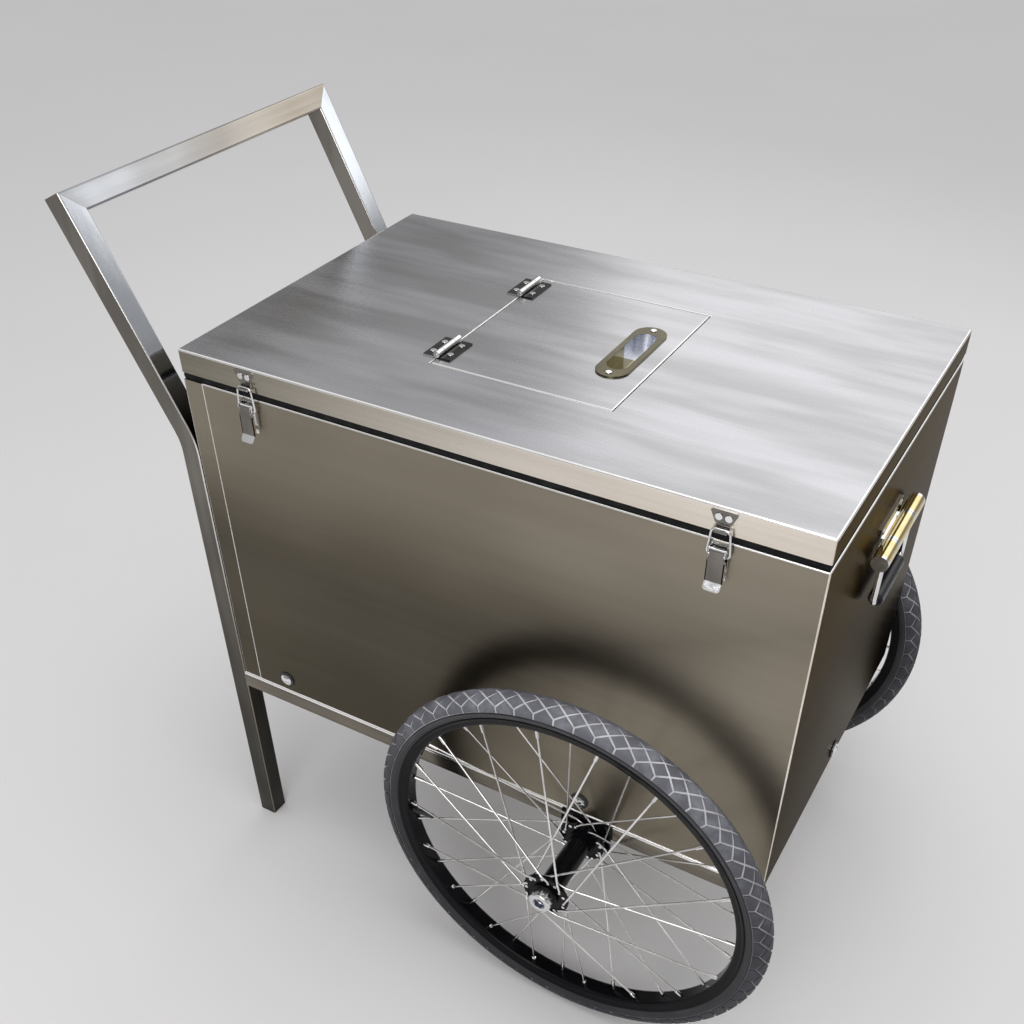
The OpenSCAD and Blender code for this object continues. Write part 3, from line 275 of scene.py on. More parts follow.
# near-black blue for the axle's end faces: painted shade in the hole at the axle's end
holeShadeLook = {"mark": 220, "dark": rgb(0.02, 0.025, 0.05), "light": rgb(0.05, 0.06, 0.11),
            "rough": 0.3, "spread": 0.2}
chrome = polished("chrome", chromeLook)
brass = polished("brass", warmReflectionLook)
darkChrome = polished("darkChrome", leafLook)
oliveReflectionChrome = polished("oliveReflectionChrome", oliveReflectionLook)
cupSteel = polished("cupSteel", cupLook)
paleReflectionSteel = polished("paleReflectionSteel", paleReflectionLook)
spokeChrome = polished("spokeChrome", spokeLook)
zinc = polished("zinc", zincLook)
holeShadeSteel = polished("holeShadeSteel", holeShadeLook)


dustTone = (0.42, 0.72)


def coated(name, look):  # paint, rubber, vinyl and foam
    finish = Finish(name, {"Metallic": 0.0, "Specular IOR Level": look["specular"]})
    fine = finish.noise(look["fine"], detail=4.0, rough=0.6)
    dust = finish.band(finish.noise(look["dust"], detail=5.0, rough=0.62), *dustTone)
    finish.give("Base Color", graded(finish, look, dust))
    finish.give("Roughness", look["rough"] + look["spread"] * dust)
    finish.bump(fine, look["bump"], look["depth"])
    return finish


enamelLook = {"fine": 260, "dust": 9, "dark": rgb(0.003, 0.003, 0.004), "light": rgb(0.006, 0.006, 0.008),
              "rough": 0.1, "spread": 0.14, "bump": 0.05, "depth": 0.0005, "specular": 0.12}
rubberLook = {"fine": 420, "dust": 12, "dark": rgb(0.022, 0.022, 0.024), "light": rgb(0.045, 0.046, 0.050),
              "rough": 0.5, "spread": 0.2, "bump": 0.3, "depth": 0.0006, "specular": 0.4}
# tread blocks lighter than the sidewall, partly dust and partly a painted sheen, and near-black below the
# rise as painted shade
treadLook = {"fine": 380, "dust": 30, "dark": rgb(0.125, 0.127, 0.146), "light": rgb(0.245, 0.249, 0.282),
             "low": (rgb(0.020, 0.021, 0.027), rgb(0.050, 0.052, 0.064)),
             "axis": (0, 0, 1), "rise": (0.30, 0.62),
             "rough": 0.5, "spread": 0.2, "bump": 0.4, "depth": 0.0008, "specular": 0.4}
# groove floors pale, partly dust and partly painted light, darker below the rise as painted shade
grooveLook = {"fine": 420, "dust": 22, "dark": rgb(0.56, 0.56, 0.58), "light": rgb(0.76, 0.76, 0.78),
              "low": (rgb(0.16, 0.16, 0.17), rgb(0.28, 0.28, 0.30)),
              "axis": (0, 0, 1), "rise": (0.25, 0.60),
              "rough": 0.8, "spread": 0.15, "bump": 0.3, "depth": 0.0006, "specular": 0.2}
foamLook = {"fine": 900, "dust": 40, "dark": rgb(0.008, 0.008, 0.008), "light": rgb(0.022, 0.022, 0.022),
            "rough": 0.85, "spread": 0.1, "bump": 0.8, "depth": 0.001, "specular": 0.2}
gripLook = {"fine": 700, "dust": 30, "dark": rgb(0.008, 0.009, 0.014), "light": rgb(0.018, 0.020, 0.028),
            "rough": 0.3, "spread": 0.16, "bump": 0.25, "depth": 0.0004, "specular": 0.5}
blockLook = {"fine": 600, "dust": 25, "dark": rgb(0.62, 0.55, 0.36), "light": rgb(0.74, 0.68, 0.5),
             "rough": 0.8, "spread": 0.1, "bump": 0.6, "depth": 0.001, "specular": 0.2}
enamel = coated("enamel", enamelLook)
rubber = coated("rubber", rubberLook)
tread = coated("tread", treadLook)
groove = coated("groove", grooveLook)
foam = coated("foam", foamLook)
vinyl = coated("vinyl", gripLook)
insulation = coated("insulation", blockLook)
print("materials made")


flatBend = 0.4  # degrees, below which two faces are one


def copyNode(name):
    bm = bmesh.new()
    bm.from_mesh(nodes[name].data)
    bmesh.ops.remove_doubles(bm, verts=bm.verts, dist=weld)
    bmesh.ops.dissolve_limit(bm, angle_limit=math.radians(flatBend), verts=bm.verts, edges=bm.edges)
    return bm


def corner(edge, degrees):
    return len(edge.link_faces) == 2 and edge.calc_face_angle(0.0) > math.radians(degrees)


def sharp(bm, degrees=60):
    return [edge for edge in bm.edges if corner(edge, degrees)]


def soften(bm, edges, width, segments):
    bmesh.ops.bevel(bm, geom=edges, offset=width * mm, offset_type="OFFSET", affect="EDGES",
                    segments=segments, profile=0.5, material=-1, clamp_overlap=True)


def wholeOf(bm):
    return bm.verts[:] + bm.edges[:] + bm.faces[:]


def sliced(bm, spot, normal):
    bmesh.ops.bisect_plane(bm, geom=wholeOf(bm), plane_co=spot, plane_no=normal)


def vertsOf(geom):
    return [item for item in geom if isinstance(item, bmesh.types.BMVert)]


def at(value, *places):
    return any(abs(value - place) < near for place in places)


def slanted(face):  # on a rounded fold, between two flat faces
    return max(abs(part) for part in face.normal) < slope["flat"]


def heightOf(face):
    return face.calc_center_median().z


def paint(bm, number, chosen):  # number is a place in the piece's list of finishes
    for face in bm.faces:
        if chosen(face):
            face.material_index = number


def keep(bm, name, body, finishes, stands=(), smooth=32):
    mesh = bpy.data.meshes.new(name)
    for face in bm.faces:
        face.smooth = True
    for edge in bm.edges:
        edge.smooth = not corner(edge, smooth)
    bm.to_mesh(mesh)
    bm.free()
    piece = bpy.data.objects.new(name, mesh)
    bpy.context.scene.collection.objects.link(piece)
    for finish in finishes:
        mesh.materials.append(finish.material)
    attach(piece, body)
    if stands:
        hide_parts(*stands)
    even = piece.modifiers.new("even", "WEIGHTED_NORMAL")
    even.keep_sharp = True
    even.weight = 100


def camel(node):
    first, *rest = node.split("_")
    return first + "".join(word.title() for word in rest)


copies = {  # body, slot, finish and the rounding of the edges in mm
    "leg_end_caps": ("cart", "tube_steel", tubeSteel, 0.6),
    "base_crossmembers": ("cart", "tube_steel", railSteel, 0.3),
    "axle_brackets": ("cart", "black_enamel", enamel, 0.6),
    "axle_nuts": ("cart", "axle_steel", zinc, 0.8),
    "floor_panel": ("cart", "panel_steel", panelSteel, 0.4),
    "box_rim": ("cart", "liner_steel", linerSteel, 0.3),
    "latch_bases": ("cart", "fittings_chrome", chrome, 0.3),
    "lid_hinge_box_leaves": ("cart", "fittings_chrome", chrome, 0.4),
    "lid_hinge_pins": ("cart", "fittings_chrome", chrome, 0.4),
    "box_rivets": ("cart", "fittings_chrome", chrome, 0.8),
    "lid_hinge_lid_leaves": ("lid", "fittings_chrome", chrome, 0.4),
    "hatch_hinge_pins": ("lid", "fittings_chrome", chrome, 0.4),
    "lid_rivets": ("lid", "fittings_chrome", chrome, 0.8),
    "hatch_frame": ("lid", "liner_steel", linerSteel, 0.3),
    "hatch_rivets": ("hatch", "fittings_chrome", chrome, 0.8),
    "front_handle_grip": ("front_handle", "grip_plastic", vinyl, 1.5),
    "right_hub": ("right_wheel", "black_enamel", enamel, 0.6),
    "left_hub": ("left_wheel", "black_enamel", enamel, 0.6),
    "right_spokes": ("right_wheel", "spoke_chrome", spokeChrome, 0.0),
    "left_spokes": ("left_wheel", "spoke_chrome", spokeChrome, 0.0),
}
for node, (body, slot, finish, edge) in copies.items():
    bm = copyNode(node)
    if edge:
        soften(bm, sharp(bm, bend), edge, segments=2)
    keep(bm, camel(node), body, [finish], [node])
print("copied pieces:", len(copies))


cornerHighlightSlope = (0.42, 0.91)  # the middle of a rounded corner, by its sideways slope, where a highlight line is painted
tubes = [  # the rails get a painted highlight along the top, its width in mm
    {"node": "right_leg_tube", "finishes": [tubeSteel, lineSteel, sideShadeSteel], "line": cornerHighlightSlope},
    {"node": "left_leg_tube", "finishes": [tubeSteel, lineSteel, sideShadeSteel], "line": cornerHighlightSlope},
    {"node": "push_bar", "finishes": [barSteel]},
    {"node": "right_base_rail", "finishes": [railSteel, foldHighlightSteel], "strip": 5.0},
    {"node": "left_base_rail", "finishes": [railSteel, foldHighlightSteel], "strip": 5.0},
]
for look in tubes:
    bm = copyNode(look["node"])
    if "line" in look:  # a painted highlight along the corners and painted shade on the sides
        least, most = look["line"]
        paint(bm, 1, lambda face: abs(face.normal.y) > least)
        # the sides facing along y in the darker side copy: painted shade
        paint(bm, 2, lambda face: abs(face.normal.y) > most)
    if "strip" in look:  # a painted highlight along the top edge of the rail
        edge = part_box(look["node"])[1].z - look["strip"] * mm
        sliced(bm, (0, 0, edge), (0, 0, 1))
        paint(bm, 1, lambda face: heightOf(face) > edge)
    keep(bm, camel(look["node"]), "cart", look["finishes"], [look["node"]])
print("tubes made")


lidLow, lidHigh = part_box("lid_skin")
lidShape = {"fold": 2.5, "mouth": 1.4, "edge": 0.3}


def onFold(edge):  # the outer folds of the lid: round the top and down the corners
    for vert in edge.verts:
        if not (at(vert.co.x, lidLow.x, lidHigh.x) or at(abs(vert.co.y), lidHigh.y)):
            return False
    return max(vert.co.z for vert in edge.verts) > lidHigh.z - near


def onMouth(edge):  # the rim of the hatch's opening
    return edge.calc_length() > longEdge and all(at(vert.co.z, lidHigh.z) for vert in edge.verts)


def lidSkin():
    bm = copyNode("lid_skin")
    soften(bm, [edge for edge in sharp(bm) if onFold(edge)], lidShape["fold"], segments=4)
    soften(bm, [edge for edge in sharp(bm) if onMouth(edge)], lidShape["mouth"], segments=2)
    soften(bm, sharp(bm), lidShape["edge"], segments=1)
    # the lid's sides in the bright skirt copy: painted reflection
    paint(bm, 1, lambda face: abs(face.normal.z) < slope["half"])
    # the front of the lid in the darker front copy of the sheet: painted shade
    paint(bm, 2, lambda face: face.normal.x > slope["steep"])
    # the rounded top folds of the lid in the near-white fold copy: a painted highlight
    paint(bm, 3, lambda face: slanted(face) and face.normal.z > slope["slight"])
    keep(bm, "lidSkin", "lid", [lidSteel, skirtReflectionSteel, frontSteel, foldHighlightSteel], ["lid_skin"])


hatchShape = {"rim": 1.6, "edge": 0.3}


def hatchPlate():
    low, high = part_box("hatch_plate")
    bm = copyNode("hatch_plate")

    def onRim(vert):
        return at(vert.co.z, high.z) and (at(vert.co.x, low.x, high.x) or at(vert.co.y, low.y, high.y))

    rims = [edge for edge in sharp(bm) if all(onRim(vert) for vert in edge.verts)]
    soften(bm, rims, hatchShape["rim"], segments=2)
    soften(bm, sharp(bm), hatchShape["edge"], segments=1)
    # the rounded rim of the hatch plate in the near-white fold copy: a painted highlight
    paint(bm, 1, slanted)
    keep(bm, "hatchPlate", "hatch", [lidSteel, foldHighlightSteel], ["hatch_plate"])


lidSkin()
hatchPlate()
print("lid folded")


sheetShape = {"sheet": 1.2, "fold": 1.8, "return": 6.0, "proud": 0.3, "lap": 0.35, "edge": 0.4}


def boxSheet():  # both sides and the front, folded from one sheet with a narrow return round the top
    low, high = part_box("right_side_panel")
    rear = low.x - sheetShape["lap"] * mm
    top = high.z + sheetShape["proud"] * mm
    bm = bmesh.new()
    path = [(rear, low.y), (high.x, low.y), (high.x, -low.y), (rear, -low.y)]
    verts = [bm.verts.new((x, y, low.z)) for x, y in path]
    edges = [bm.edges.new(pair) for pair in zip(verts, verts[1:])]
    raised = bmesh.ops.extrude_edge_only(bm, edges=edges)["geom"]
    bmesh.ops.translate(bm, verts=vertsOf(raised), vec=(0, 0, top - low.z))
    brims = [edge for edge in bm.edges if all(at(vert.co.z, top) for vert in edge.verts)]
    turned = bmesh.ops.extrude_edge_only(bm, edges=brims)["geom"]
    inward = sheetShape["return"] * mm
    for vert in vertsOf(turned):
        vert.co.y -= math.copysign(inward, vert.co.y)
        if at(vert.co.x, high.x):
            vert.co.x -= inward
    bmesh.ops.recalc_face_normals(bm, faces=bm.faces)
    if next(face for face in bm.faces if abs(face.normal.x) > slope["half"]).normal.x < 0:
        bmesh.ops.reverse_faces(bm, faces=bm.faces)
    soften(bm, sharp(bm), sheetShape["fold"], segments=4)
    bmesh.ops.solidify(bm, geom=bm.faces[:], thickness=sheetShape["sheet"] * mm)
    soften(bm, sharp(bm), sheetShape["edge"], segments=2)
    slight = slope["slight"]
    # the front of the box in the darker front copy of the sheet: painted shade
    paint(bm, 1, lambda face: face.normal.x > slope["front"])
    # the top fold and the rear cut edges in the near-white fold copy: a painted highlight
    paint(bm, 2, lambda face: slanted(face) and (face.normal.z > slight or face.normal.x < -slight))
    # the upright corner folds in the bright skirt copy: a painted highlight line
    paint(bm, 3, lambda face: slanted(face) and face.normal.x > slight and abs(face.normal.z) < slight)
    keep(bm, "boxSheet", "cart", [panelSteel, frontSteel, foldHighlightSteel, skirtReflectionSteel],
         ["right_side_panel", "left_side_panel", "front_panel"])


rearShape = {"fold": 2.0, "lap": 0.8, "edge": 0.35}


def rearSheet():
    low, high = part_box("rear_panel")
    bm = copyNode("rear_panel")
    for place, width, segments in ((low.x, rearShape["fold"], 4), (high.x, rearShape["lap"], 2)):
        corners = []
        for edge in sharp(bm):
            if all(at(vert.co.x, place) and at(abs(vert.co.y), high.y) for vert in edge.verts):
                corners.append(edge)
        soften(bm, corners, width, segments)
    soften(bm, sharp(bm), rearShape["edge"], segments=1)
    # the rounded fold and lapped edge of the rear panel in the near-white fold copy: a painted highlight
    paint(bm, 1, slanted)
    keep(bm, "rearPanel", "cart", [panelSteel, foldHighlightSteel], ["rear_panel"])


boxSheet()
rearSheet()
print("box sheets folded")


gasketShape = {"cuts": 70, "layers": 3, "upright": 5.0, "reach": 0.5, "swing": 1.0, "bulge": 0.6,
               "along": 46, "up": 130}


def gasket():  # soft foam strip with an uneven outer face
    low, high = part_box("lid_gasket")
    bm = copyNode("lid_gasket")
    level = [edge for edge in bm.edges if at(edge.verts[0].co.z, edge.verts[1].co.z)]
    runs = [edge for edge in level if edge.calc_length() > longEdge]
    bmesh.ops.subdivide_edges(bm, edges=runs, cuts=gasketShape["cuts"], use_grid_fill=True)
    tall = gasketShape["upright"] * mm
    uprights = [edge for edge in bm.edges if abs(edge.verts[0].co.z - edge.verts[1].co.z) > tall]
    bmesh.ops.subdivide_edges(bm, edges=uprights, cuts=gasketShape["layers"], use_grid_fill=True)
    middle = (low + high) / 2
    for vert in bm.verts:
        away = Vector((0, 0, 0))
        if at(vert.co.y, low.y, high.y):
            away.y = math.copysign(1, vert.co.y)
        if at(vert.co.x, low.x, high.x):
            away.x = math.copysign(1, vert.co.x - middle.x)
        swell = 1 - ((vert.co.z - middle.z) / (high.z - middle.z)) ** 2
        along, up = gasketShape["along"], gasketShape["up"]
        wave = noise.noise(Vector((vert.co.x * along, vert.co.y * along, vert.co.z * up)))
        out = gasketShape["reach"] + gasketShape["swing"] * wave + gasketShape["bulge"] * swell
        vert.co += away * out * mm
    keep(bm, "lidGasket", "cart", [foam], ["lid_gasket"], smooth=60)


gasket()
print("gasket made")


tyreLow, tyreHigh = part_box("right_tyre")
tyreTube = (tyreHigh.y - tyreLow.y) / 2 / mm
tyreRing = (tyreHigh.z - tyreLow.z) / 2 / mm - tyreTube
tyreShape = {"floor": 1.5, "wall": 0.3, "sunk": 0.8, "inside": 3.0, "bead": 136, "steps": 168,
             "around": 64, "rows": 2, "row": 11.0, "gap": 1.3, "shoulder": 32.5, "edge": 0.5,
             "cuts": (-5.5, 0, 5.5), "ribs": (101, 109), "rib": 0.5, "ribSpread": 1.1, "ribPaint": 0.9,
             "ease": 3, "fine": 2, "coarse": 8}  # from ribs on, and bead, in degrees, but rib in mm
shoulderAngle = math.degrees(tyreShape["shoulder"] / tyreTube)
axleAxis = Vector((0, 1, 0))


def onTyre(centre, around, across, depth):  # mm round the crown, mm across it, mm below the surface
    tilt = across / tyreTube
    height = tyreTube - depth
    reach = (tyreRing + height * math.cos(tilt)) * mm
    turn = around / (tyreRing + tyreTube)
    return centre + Vector((reach * math.sin(turn), height * math.sin(tilt) * mm, reach * math.cos(turn)))


def onRib(degrees, spread):
    return any(abs(abs(degrees) - rib) < spread for rib in tyreShape["ribs"])


def carcassDepth(degrees):
    rise = min(max((abs(degrees) - shoulderAngle) / tyreShape["ease"], 0), 1)
    depth = tyreShape["floor"] + (tyreShape["wall"] - tyreShape["floor"]) * rise
    return depth - tyreShape["rib"] * onRib(degrees, tyreShape["ribSpread"])


def spun(points, centre, steps):  # a closed section turned about the wheel's axle
    bm = bmesh.new()
    verts = [bm.verts.new(point) for point in points]
    edges = [bm.edges.new((verts[i - 1], verts[i])) for i in range(len(verts))]
    bmesh.ops.spin(bm, geom=verts + edges, cent=centre, axis=axleAxis, angle=2 * math.pi, steps=steps,
                   use_merge=True)
    bmesh.ops.recalc_face_normals(bm, faces=bm.faces)
    return bm


def treadRow(centre, row):  # one diamond block, wrapped on the crown and repeated round the tyre
    look = tyreShape
    half = math.pi * (tyreRing + tyreTube) / look["around"]
    step = look["row"]
    out = int(math.copysign(1, row))
    outline = [(-half, 0), (0, -step), (half, 0), (0, step)]
    if abs(row) == look["rows"]:  # the blocks on the shoulder end square
        end = look["shoulder"] - abs(row) * step
        outline = [(-half, 0), (0, -step), (half, 0), (half, end), (-half, end)]
    bm = bmesh.new()
    bm.faces.new([bm.verts.new((x, out * y, 0)) for x, y in outline[::out]])
    bm.normal_update()
    border = bmesh.ops.inset_region(bm, faces=bm.faces[:], thickness=look["gap"], use_boundary=True,
                                    use_even_offset=True)["faces"]
    bmesh.ops.delete(bm, geom=border, context="FACES")
    sliced(bm, (0, 0, 0), (1, 0, 0))
    for across in look["cuts"]:
        sliced(bm, (0, across, 0), (0, 1, 0))
    raised = bmesh.ops.extrude_face_region(bm, geom=bm.faces[:])["geom"]
    roof = [item for item in raised if isinstance(item, bmesh.types.BMFace)]
    bmesh.ops.translate(bm, verts=vertsOf(raised), vec=(0, 0, 1))
    rims = []
    for edge in bm.edges:
        above = [face in roof for face in edge.link_faces]
        if any(above) and not all(above):
            rims.append(edge)
    bmesh.ops.bevel(bm, geom=rims, offset=look["edge"], offset_type="OFFSET", affect="EDGES", segments=1,
                    profile=0.5, material=-1)
    for vert in bm.verts:
        depth = (look["floor"] + look["sunk"]) * (1 - vert.co.z)
        vert.co = onTyre(centre, vert.co.x + half * (row % 2), vert.co.y + row * step, depth)
    # the blocks in the tread copy: partly dust, partly painted sheen
    paint(bm, 2, lambda face: True)
    turns = look["around"] - 1
    bmesh.ops.spin(bm, geom=wholeOf(bm), cent=centre, axis=axleAxis, steps=turns, use_duplicate=True,
                   angle=2 * math.pi * turns / look["around"])
    bmesh.ops.recalc_face_normals(bm, faces=bm.faces)
    mesh = bpy.data.meshes.new("row")
    bm.to_mesh(mesh)
    bm.free()
    return mesh


def tyre(side):
    low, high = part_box(side + "_tyre")
    centre = (low + high) / 2
    arc = tyreTube * math.pi / 180
    bead = tyreShape["bead"]
    there = range(-bead, bead + 1, tyreShape["fine"])
    back = range(bead, -bead - 1, -tyreShape["coarse"])
    outer = [onTyre(centre, 0, arc * angle, carcassDepth(angle)) for angle in there]
    inner = [onTyre(centre, 0, arc * angle, tyreShape["inside"]) for angle in back]
    bm = spun(outer + inner, centre, tyreShape["steps"])
    # the crown between the blocks in the groove copy, partly dust and partly painted light; the sidewall ribs
    # in the tread copy as painted highlight lines
    for face in bm.faces:
        spot = face.calc_center_median() - centre
        across = math.degrees(math.atan2(spot.y, math.hypot(spot.x, spot.z) - tyreRing * mm))
        if abs(across) < shoulderAngle:
            face.material_index = 1
        elif onRib(across, tyreShape["ribPaint"]):
            face.material_index = 2
    for row in range(-tyreShape["rows"], tyreShape["rows"] + 1):
        mesh = treadRow(centre, row)
        bm.from_mesh(mesh)
        bpy.data.meshes.remove(mesh)
    keep(bm, side + "Tyre", side + "_wheel", [rubber, groove, tread], [side + "_tyre"],
         smooth=40)


rimShape = {"sheet": 1.8, "lip": 3.4, "flare": 1.6, "edge": 3.0, "waist": 1.0, "nip": 0.4, "foot": 3.0,
            "ease": 1.0, "clear": 0.5, "steps": 168}


def rim(side):  # a rolled lip on each side of a narrow well
    look = rimShape
    sheet, edge, nip, foot = look["sheet"], look["edge"], look["nip"], look["foot"]
    low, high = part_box(side + "_rim")
    centre = (low + high) / 2
    lip = (high.z - low.z) / 2 / mm
    half = (high.y - low.y) / 2 / mm
    spokeLow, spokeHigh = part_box(side + "_spokes")
    well = (spokeHigh.z - spokeLow.z) / 2 / mm + look["clear"]
    crest = lip + look["lip"]
    flare = half + look["flare"]
    waist = half - look["waist"]
    hip = half - edge
    outside = [(crest, half + nip), (crest - nip, flare - nip / 2), (crest - 4 * nip, flare),
               (lip - 2 * nip, half + look["clear"]), (lip - foot, waist), (well + edge, waist),
               (well + 2 * nip, hip - 1.5 * nip), (well, hip - foot)]
    inside = [(well + sheet, hip - foot), (well + edge + look["ease"], waist - sheet),
              (lip - look["ease"], half - sheet), (crest - 1.5 * nip, half - nip)]
    section = outside + [(reach, -width) for reach, width in outside[::-1]]
    section += [(reach, -width) for reach, width in inside] + inside[::-1]
    points = [centre + Vector((0, width * mm, reach * mm)) for reach, width in section]
    bm = spun(points, centre, look["steps"])
    keep(bm, side + "Rim", side + "_wheel", [enamel], [side + "_rim"], smooth=50)


for side in ("right", "left"):
    tyre(side)
    rim(side)
print("wheels made")


def twoTone(node, body, finishes, edge, chosen):
    bm = copyNode(node)
    soften(bm, sharp(bm, bend), edge, segments=2)
    paint(bm, 1, chosen)
    keep(bm, camel(node), body, finishes, [node])


# faces turned to the near side, which get the dark copy as painted shade
def toNearSide(face):
    return face.normal.y < -slope["square"]


toneShape = {"leafEdge": 0.4, "knuckle": 2.5, "keeperEdge": 0.3, "axleEdge": 0.6, "axleEnd": 0.3}
knuckleFoot = lidHigh.z + toneShape["knuckle"] * mm
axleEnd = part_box("axle_shaft")[1].y - toneShape["axleEnd"] * mm
# the hatch hinges are one sheet in two tones: near-black chrome on the flat leaves as painted shade, bright
# chrome on the knuckles as a painted highlight
for node, body in (("hatch_hinge_lid_leaves", "lid"), ("hatch_hinge_leaves", "hatch")):
    twoTone(node, body, [darkChrome, chrome], toneShape["leafEdge"],
            lambda face: heightOf(face) > knuckleFoot)
# the near-facing faces of the keepers in the dark copy: painted shade
twoTone("latch_keepers", "lid", [chrome, plateSteel], toneShape["keeperEdge"],
        toNearSide)
# the axle's end faces in the near-black copy: the painted shade of the hole in the nut
twoTone("axle_shaft", "cart", [zinc, holeShadeSteel], toneShape["axleEdge"],
        lambda face: abs(face.calc_center_median().y) > axleEnd)


pullShape = {"flange": 1.2, "edge": 0.5, "pale": 9.0}


def pull():  # a dark flange round a recess that is paler at its far end: one plated part in painted reflection tones, golden in the recess, dark olive on the flange and pale at the far end
    low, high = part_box("flush_pull")
    pale = (low.y + high.y) / 2 + pullShape["pale"] * mm
    bm = copyNode("flush_pull")
    soften(bm, sharp(bm, bend), pullShape["edge"], segments=2)
    sliced(bm, (0, pale, 0), (0, 1, 0))
    # the far end of the recess in the pale copy and the flange in the dark olive copy: painted reflections
    paint(bm, 2, lambda face: face.calc_center_median().y > pale)
    paint(bm, 1, lambda face: heightOf(face) > high.z - pullShape["flange"] * mm)
    keep(bm, "flushPull", "hatch", [cupSteel, oliveReflectionChrome, paleReflectionSteel], ["flush_pull"])


pull()


boltShape = {"washer": 1.5, "edge": 0.4}


def bolts():  # dark washers under bright slotted heads
    low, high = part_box("right_side_panel")
    bm = copyNode("body_bolts")
    soften(bm, sharp(bm, bend), boltShape["edge"], segments=2)

    def onWasher(face):
        spot = face.calc_center_median()
        proud = max(abs(spot.y) - abs(low.y), spot.x - high.x)
        return proud < (boltShape["washer"] + skin) * mm

    paint(bm, 1, onWasher)
    keep(bm, "bodyBolts", "cart", [chrome, rubber], ["body_bolts"])


bolts()


leverShape = {"flange": 4.5, "sheet": 1.2, "edge": 0.3, "top": 16.0, "foot": 9.0, "tip": 4.0,
              "tipEdge": 2.0, "tipRise": 2.2, "plate": 14.0}


def lever(end):  # the pressed plate with its side flanges and rounded tip
    node = end + "_latch_lever"
    look = leverShape
    low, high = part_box(node)
    bm = copyNode(node)
    short = [edge for edge in bm.edges if edge.calc_length() < look["tipEdge"] * mm]
    tipTop = low.z + look["tipRise"] * mm
    tips = [edge for edge in short if all(vert.co.z < tipTop for vert in edge.verts)]
    soften(bm, tips, look["tip"], segments=4)
    face = min(vert.co.y for vert in bm.verts if vert.co.z > low.z + look["plate"] * mm)
    tall = (high.z - low.z) / mm - look["top"] - look["foot"]
    for side in (low.x, high.x):
        made = bmesh.ops.create_cube(bm, size=1)["verts"]
        size = Vector((look["sheet"], look["flange"], tall)) * mm
        bmesh.ops.scale(bm, verts=made, vec=size)
        inward = math.copysign(size.x / 2, low.x + high.x - 2 * side)
        spot = (side + inward, face + size.y / 2, low.z + look["foot"] * mm + size.z / 2)
        bmesh.ops.translate(bm, verts=made, vec=spot)
    soften(bm, sharp(bm, bend), look["edge"], segments=2)
    # the near-facing faces of the lever in the dark copy: painted shade
    paint(bm, 1, toNearSide)
    keep(bm, camel(node), end + "_lever", [chrome, plateSteel], [node])


bailShape = {"head": 10.8, "corner": 5.0, "steps": 5, "sides": 4}


def bail(end):  # a closed loop of wire, narrower at the keeper
    node = end + "_latch_bail"
    look = bailShape
    low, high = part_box(node)
    wire = (high.y - low.y) / 2
    middle = (low + high) / 2
    wide = (high.x - low.x) / 2 - wire
    bm = bmesh.new()
    loop = [(-wide, low.z + wire), (wide, low.z + wire), (look["head"] * mm, high.z - wire),
            (-look["head"] * mm, high.z - wire)]
    bm.faces.new([bm.verts.new((middle.x + x, middle.y, z)) for x, z in loop])
    bmesh.ops.bevel(bm, geom=bm.verts[:], offset=look["corner"] * mm, offset_type="OFFSET", affect="VERTICES",
                    segments=look["steps"], profile=0.5, material=-1)
    route = [vert.co.copy() for vert in max(bm.faces, key=lambda face: face.calc_area()).verts]
    bm.free()
    curve = bpy.data.curves.new("route", "CURVE")
    curve.dimensions = "3D"
    curve.bevel_depth = wire
    curve.bevel_resolution = look["sides"]
    spline = curve.splines.new("POLY")
    spline.points.add(len(route) - 1)
    for point, spot in zip(spline.points, route):
        point.co = (*spot, 1)
    spline.use_cyclic_u = True
    sweep = bpy.data.objects.new("route", curve)
    mesh = bpy.data.meshes.new_from_object(sweep)
    bm = bmesh.new()
    bm.from_mesh(mesh)
    bmesh.ops.remove_doubles(bm, verts=bm.verts, dist=weld)
    bmesh.ops.recalc_face_normals(bm, faces=bm.faces)
    bpy.data.objects.remove(sweep)
    bpy.data.curves.remove(curve)
    bpy.data.meshes.remove(mesh)
    keep(bm, camel(node), end + "_bail", [chrome], [node])


for end in ("rear", "front"):
    lever(end)
    bail(end)
print("latches made")


handleShape = {"barrel": 11.0, "joint": 35.0, "band": 5.0, "edge": 0.5}


def handlePiece(node, body):  # the barrel is painted a warm brass tone as a reflection, and its joints are set off by bright chrome bands as painted highlights
    look = handleShape
    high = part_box("front_handle_bail")[1]
    pivot = Vector((high.x - look["barrel"] * mm, 0, high.z - look["barrel"] * mm))
    ends = (look["joint"], high.y / mm)
    bm = copyNode(node)
    soften(bm, sharp(bm, bend), look["edge"], segments=2)
    for end in ends:
        for place in (end - look["band"], end + look["band"]):
            for hand in (-1, 1):
                sliced(bm, (0, hand * place * mm, 0), (0, 1, 0))

    def onBarrel(face):
        away = face.calc_center_median() - pivot
        return math.hypot(away.x, away.z) < (look["barrel"] + skin) * mm

    def onHighlightBand(face):
        across = abs(face.calc_center_median().y) / mm
        return onBarrel(face) and any(abs(across - end) < look["band"] for end in ends)

    # the barrel in the warm tone as a painted reflection, the bands at the joints left bright as painted
    # highlights
    paint(bm, 1, onBarrel)
    paint(bm, 0, onHighlightBand)
    keep(bm, camel(node), body, [chrome, brass], [node])


handlePiece("front_handle_plate", "cart")
handlePiece("front_handle_bail", "front_handle")
print("front handle made")


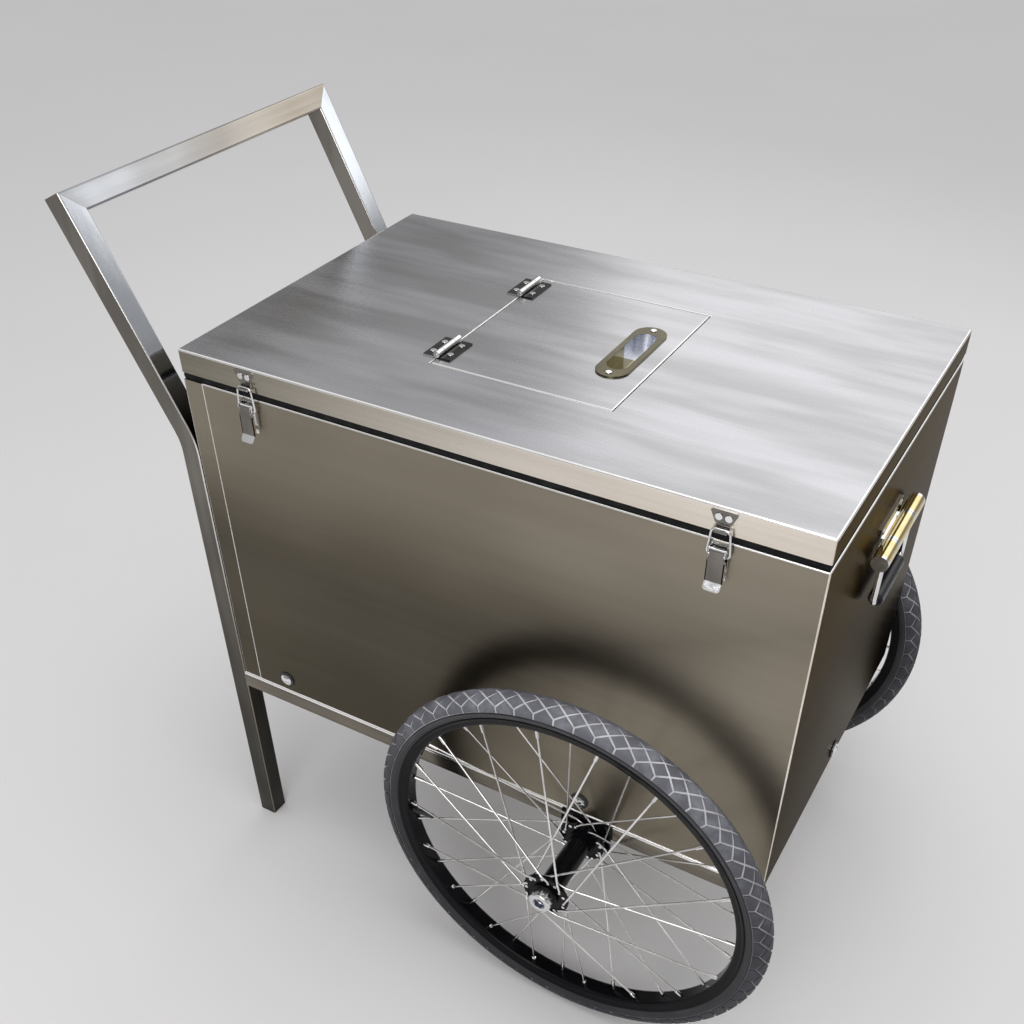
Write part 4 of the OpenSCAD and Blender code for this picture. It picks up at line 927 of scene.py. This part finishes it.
carried = {"inner_liner": linerSteel, "lid_liner": linerSteel, "hatch_pan": linerSteel,
           "wall_insulation": insulation, "lid_insulation": insulation, "hatch_insulation": insulation,
           "hatch_gasket": foam, "right_inner_tube": rubber, "left_inner_tube": rubber,
           "bearing_inner_rings": zinc, "right_bearings": zinc, "left_bearings": zinc}
for name, finish in carried.items():
    nodes[name].data.materials.clear()
    nodes[name].data.materials.append(finish.material)
print("carried nodes finished")


floorLook = {"size": 14.0, "dark": rgb(0.75, 0.74, 0.735), "light": rgb(0.79, 0.78, 0.775)}
bm = bmesh.new()
bmesh.ops.create_grid(bm, x_segments=4, y_segments=4, size=floorLook["size"])
mesh = bpy.data.meshes.new("floor")
bm.to_mesh(mesh)
bm.free()
floor = bpy.data.objects.new("floor", mesh)
bpy.context.scene.collection.objects.link(floor)
paper = Finish("paper", {"Roughness": 0.9, "Specular IOR Level": 0.1})
paper.give("Base Color", paper.blend(paper.noise(1.2), floorLook["dark"], floorLook["light"]))
mesh.materials.append(paper.material)

skyLook = {"edge": rgb(0.48, 0.475, 0.47), "top": rgb(1.5, 1.5, 1.54), "rise": (0.06, 0.9),
           "strength": 0.55}
world = bpy.data.worlds.new("studio")
bpy.context.scene.world = world
sky = Tree(world)
ray = sky.node("ShaderNodeTexCoord", {}, {}, "Generated")
up = sky.node("ShaderNodeSeparateXYZ", {}, {0: ray}, 2)
background = sky.tree.nodes["Background"]
shade = sky.blend(sky.band(up, *skyLook["rise"]), skyLook["edge"], skyLook["top"])
sky.feed(background.inputs["Color"], shade)
background.inputs["Strength"].default_value = skyLook["strength"]

lamps = {"key": {"spot": (0.5, -0.4, 3.4), "aim": (0.1, 0, 0), "size": (1.8, 1.8), "power": 22},
         "fill": {"spot": (0.7, -2.9, 2.1), "aim": (0.1, -0.9, 0), "size": (1.8, 1.4), "power": 24},
         "sweep": {"spot": (0.45, 2.5, 2.4), "aim": (0, 0, 0.9), "size": (3.6, 1.5), "power": 15}}
for name, look in lamps.items():
    data = bpy.data.lights.new(name, "AREA")
    data.shape = "RECTANGLE"
    data.size, data.size_y = look["size"]
    data.energy = look["power"]
    made = bpy.data.objects.new(name, data)
    made.location = look["spot"]
    made.rotation_euler = (Vector(look["aim"]) - Vector(look["spot"])).to_track_quat("-Z", "Y").to_euler()
    made.visible_camera = False
    bpy.context.scene.collection.objects.link(made)

cameraLook = {"spot": (0.72612, -1.29295, 1.6082), "yaw": 31.2129, "pitch": 41.3235, "roll": -1.0877,
              "lens": 40.68, "sensor": 36, "shift": (0.01136, 0.1537)}
data = bpy.data.cameras.new("camera")
data.sensor_width = cameraLook["sensor"]
data.lens = cameraLook["lens"]
data.shift_x, data.shift_y = cameraLook["shift"]
camera = bpy.data.objects.new("camera", data)
turns = [(cameraLook["yaw"], "Z"), (90 - cameraLook["pitch"], "X"), (cameraLook["roll"], "Z")]
facing = Matrix.Identity(4)
for degrees, letter in turns:
    facing = facing @ Matrix.Rotation(math.radians(degrees), 4, letter)
camera.matrix_world = Matrix.Translation(cameraLook["spot"]) @ facing
bpy.context.scene.collection.objects.link(camera)
bpy.context.scene.camera = camera
bpy.context.scene.view_settings.view_transform = "Standard"
print("stage set")
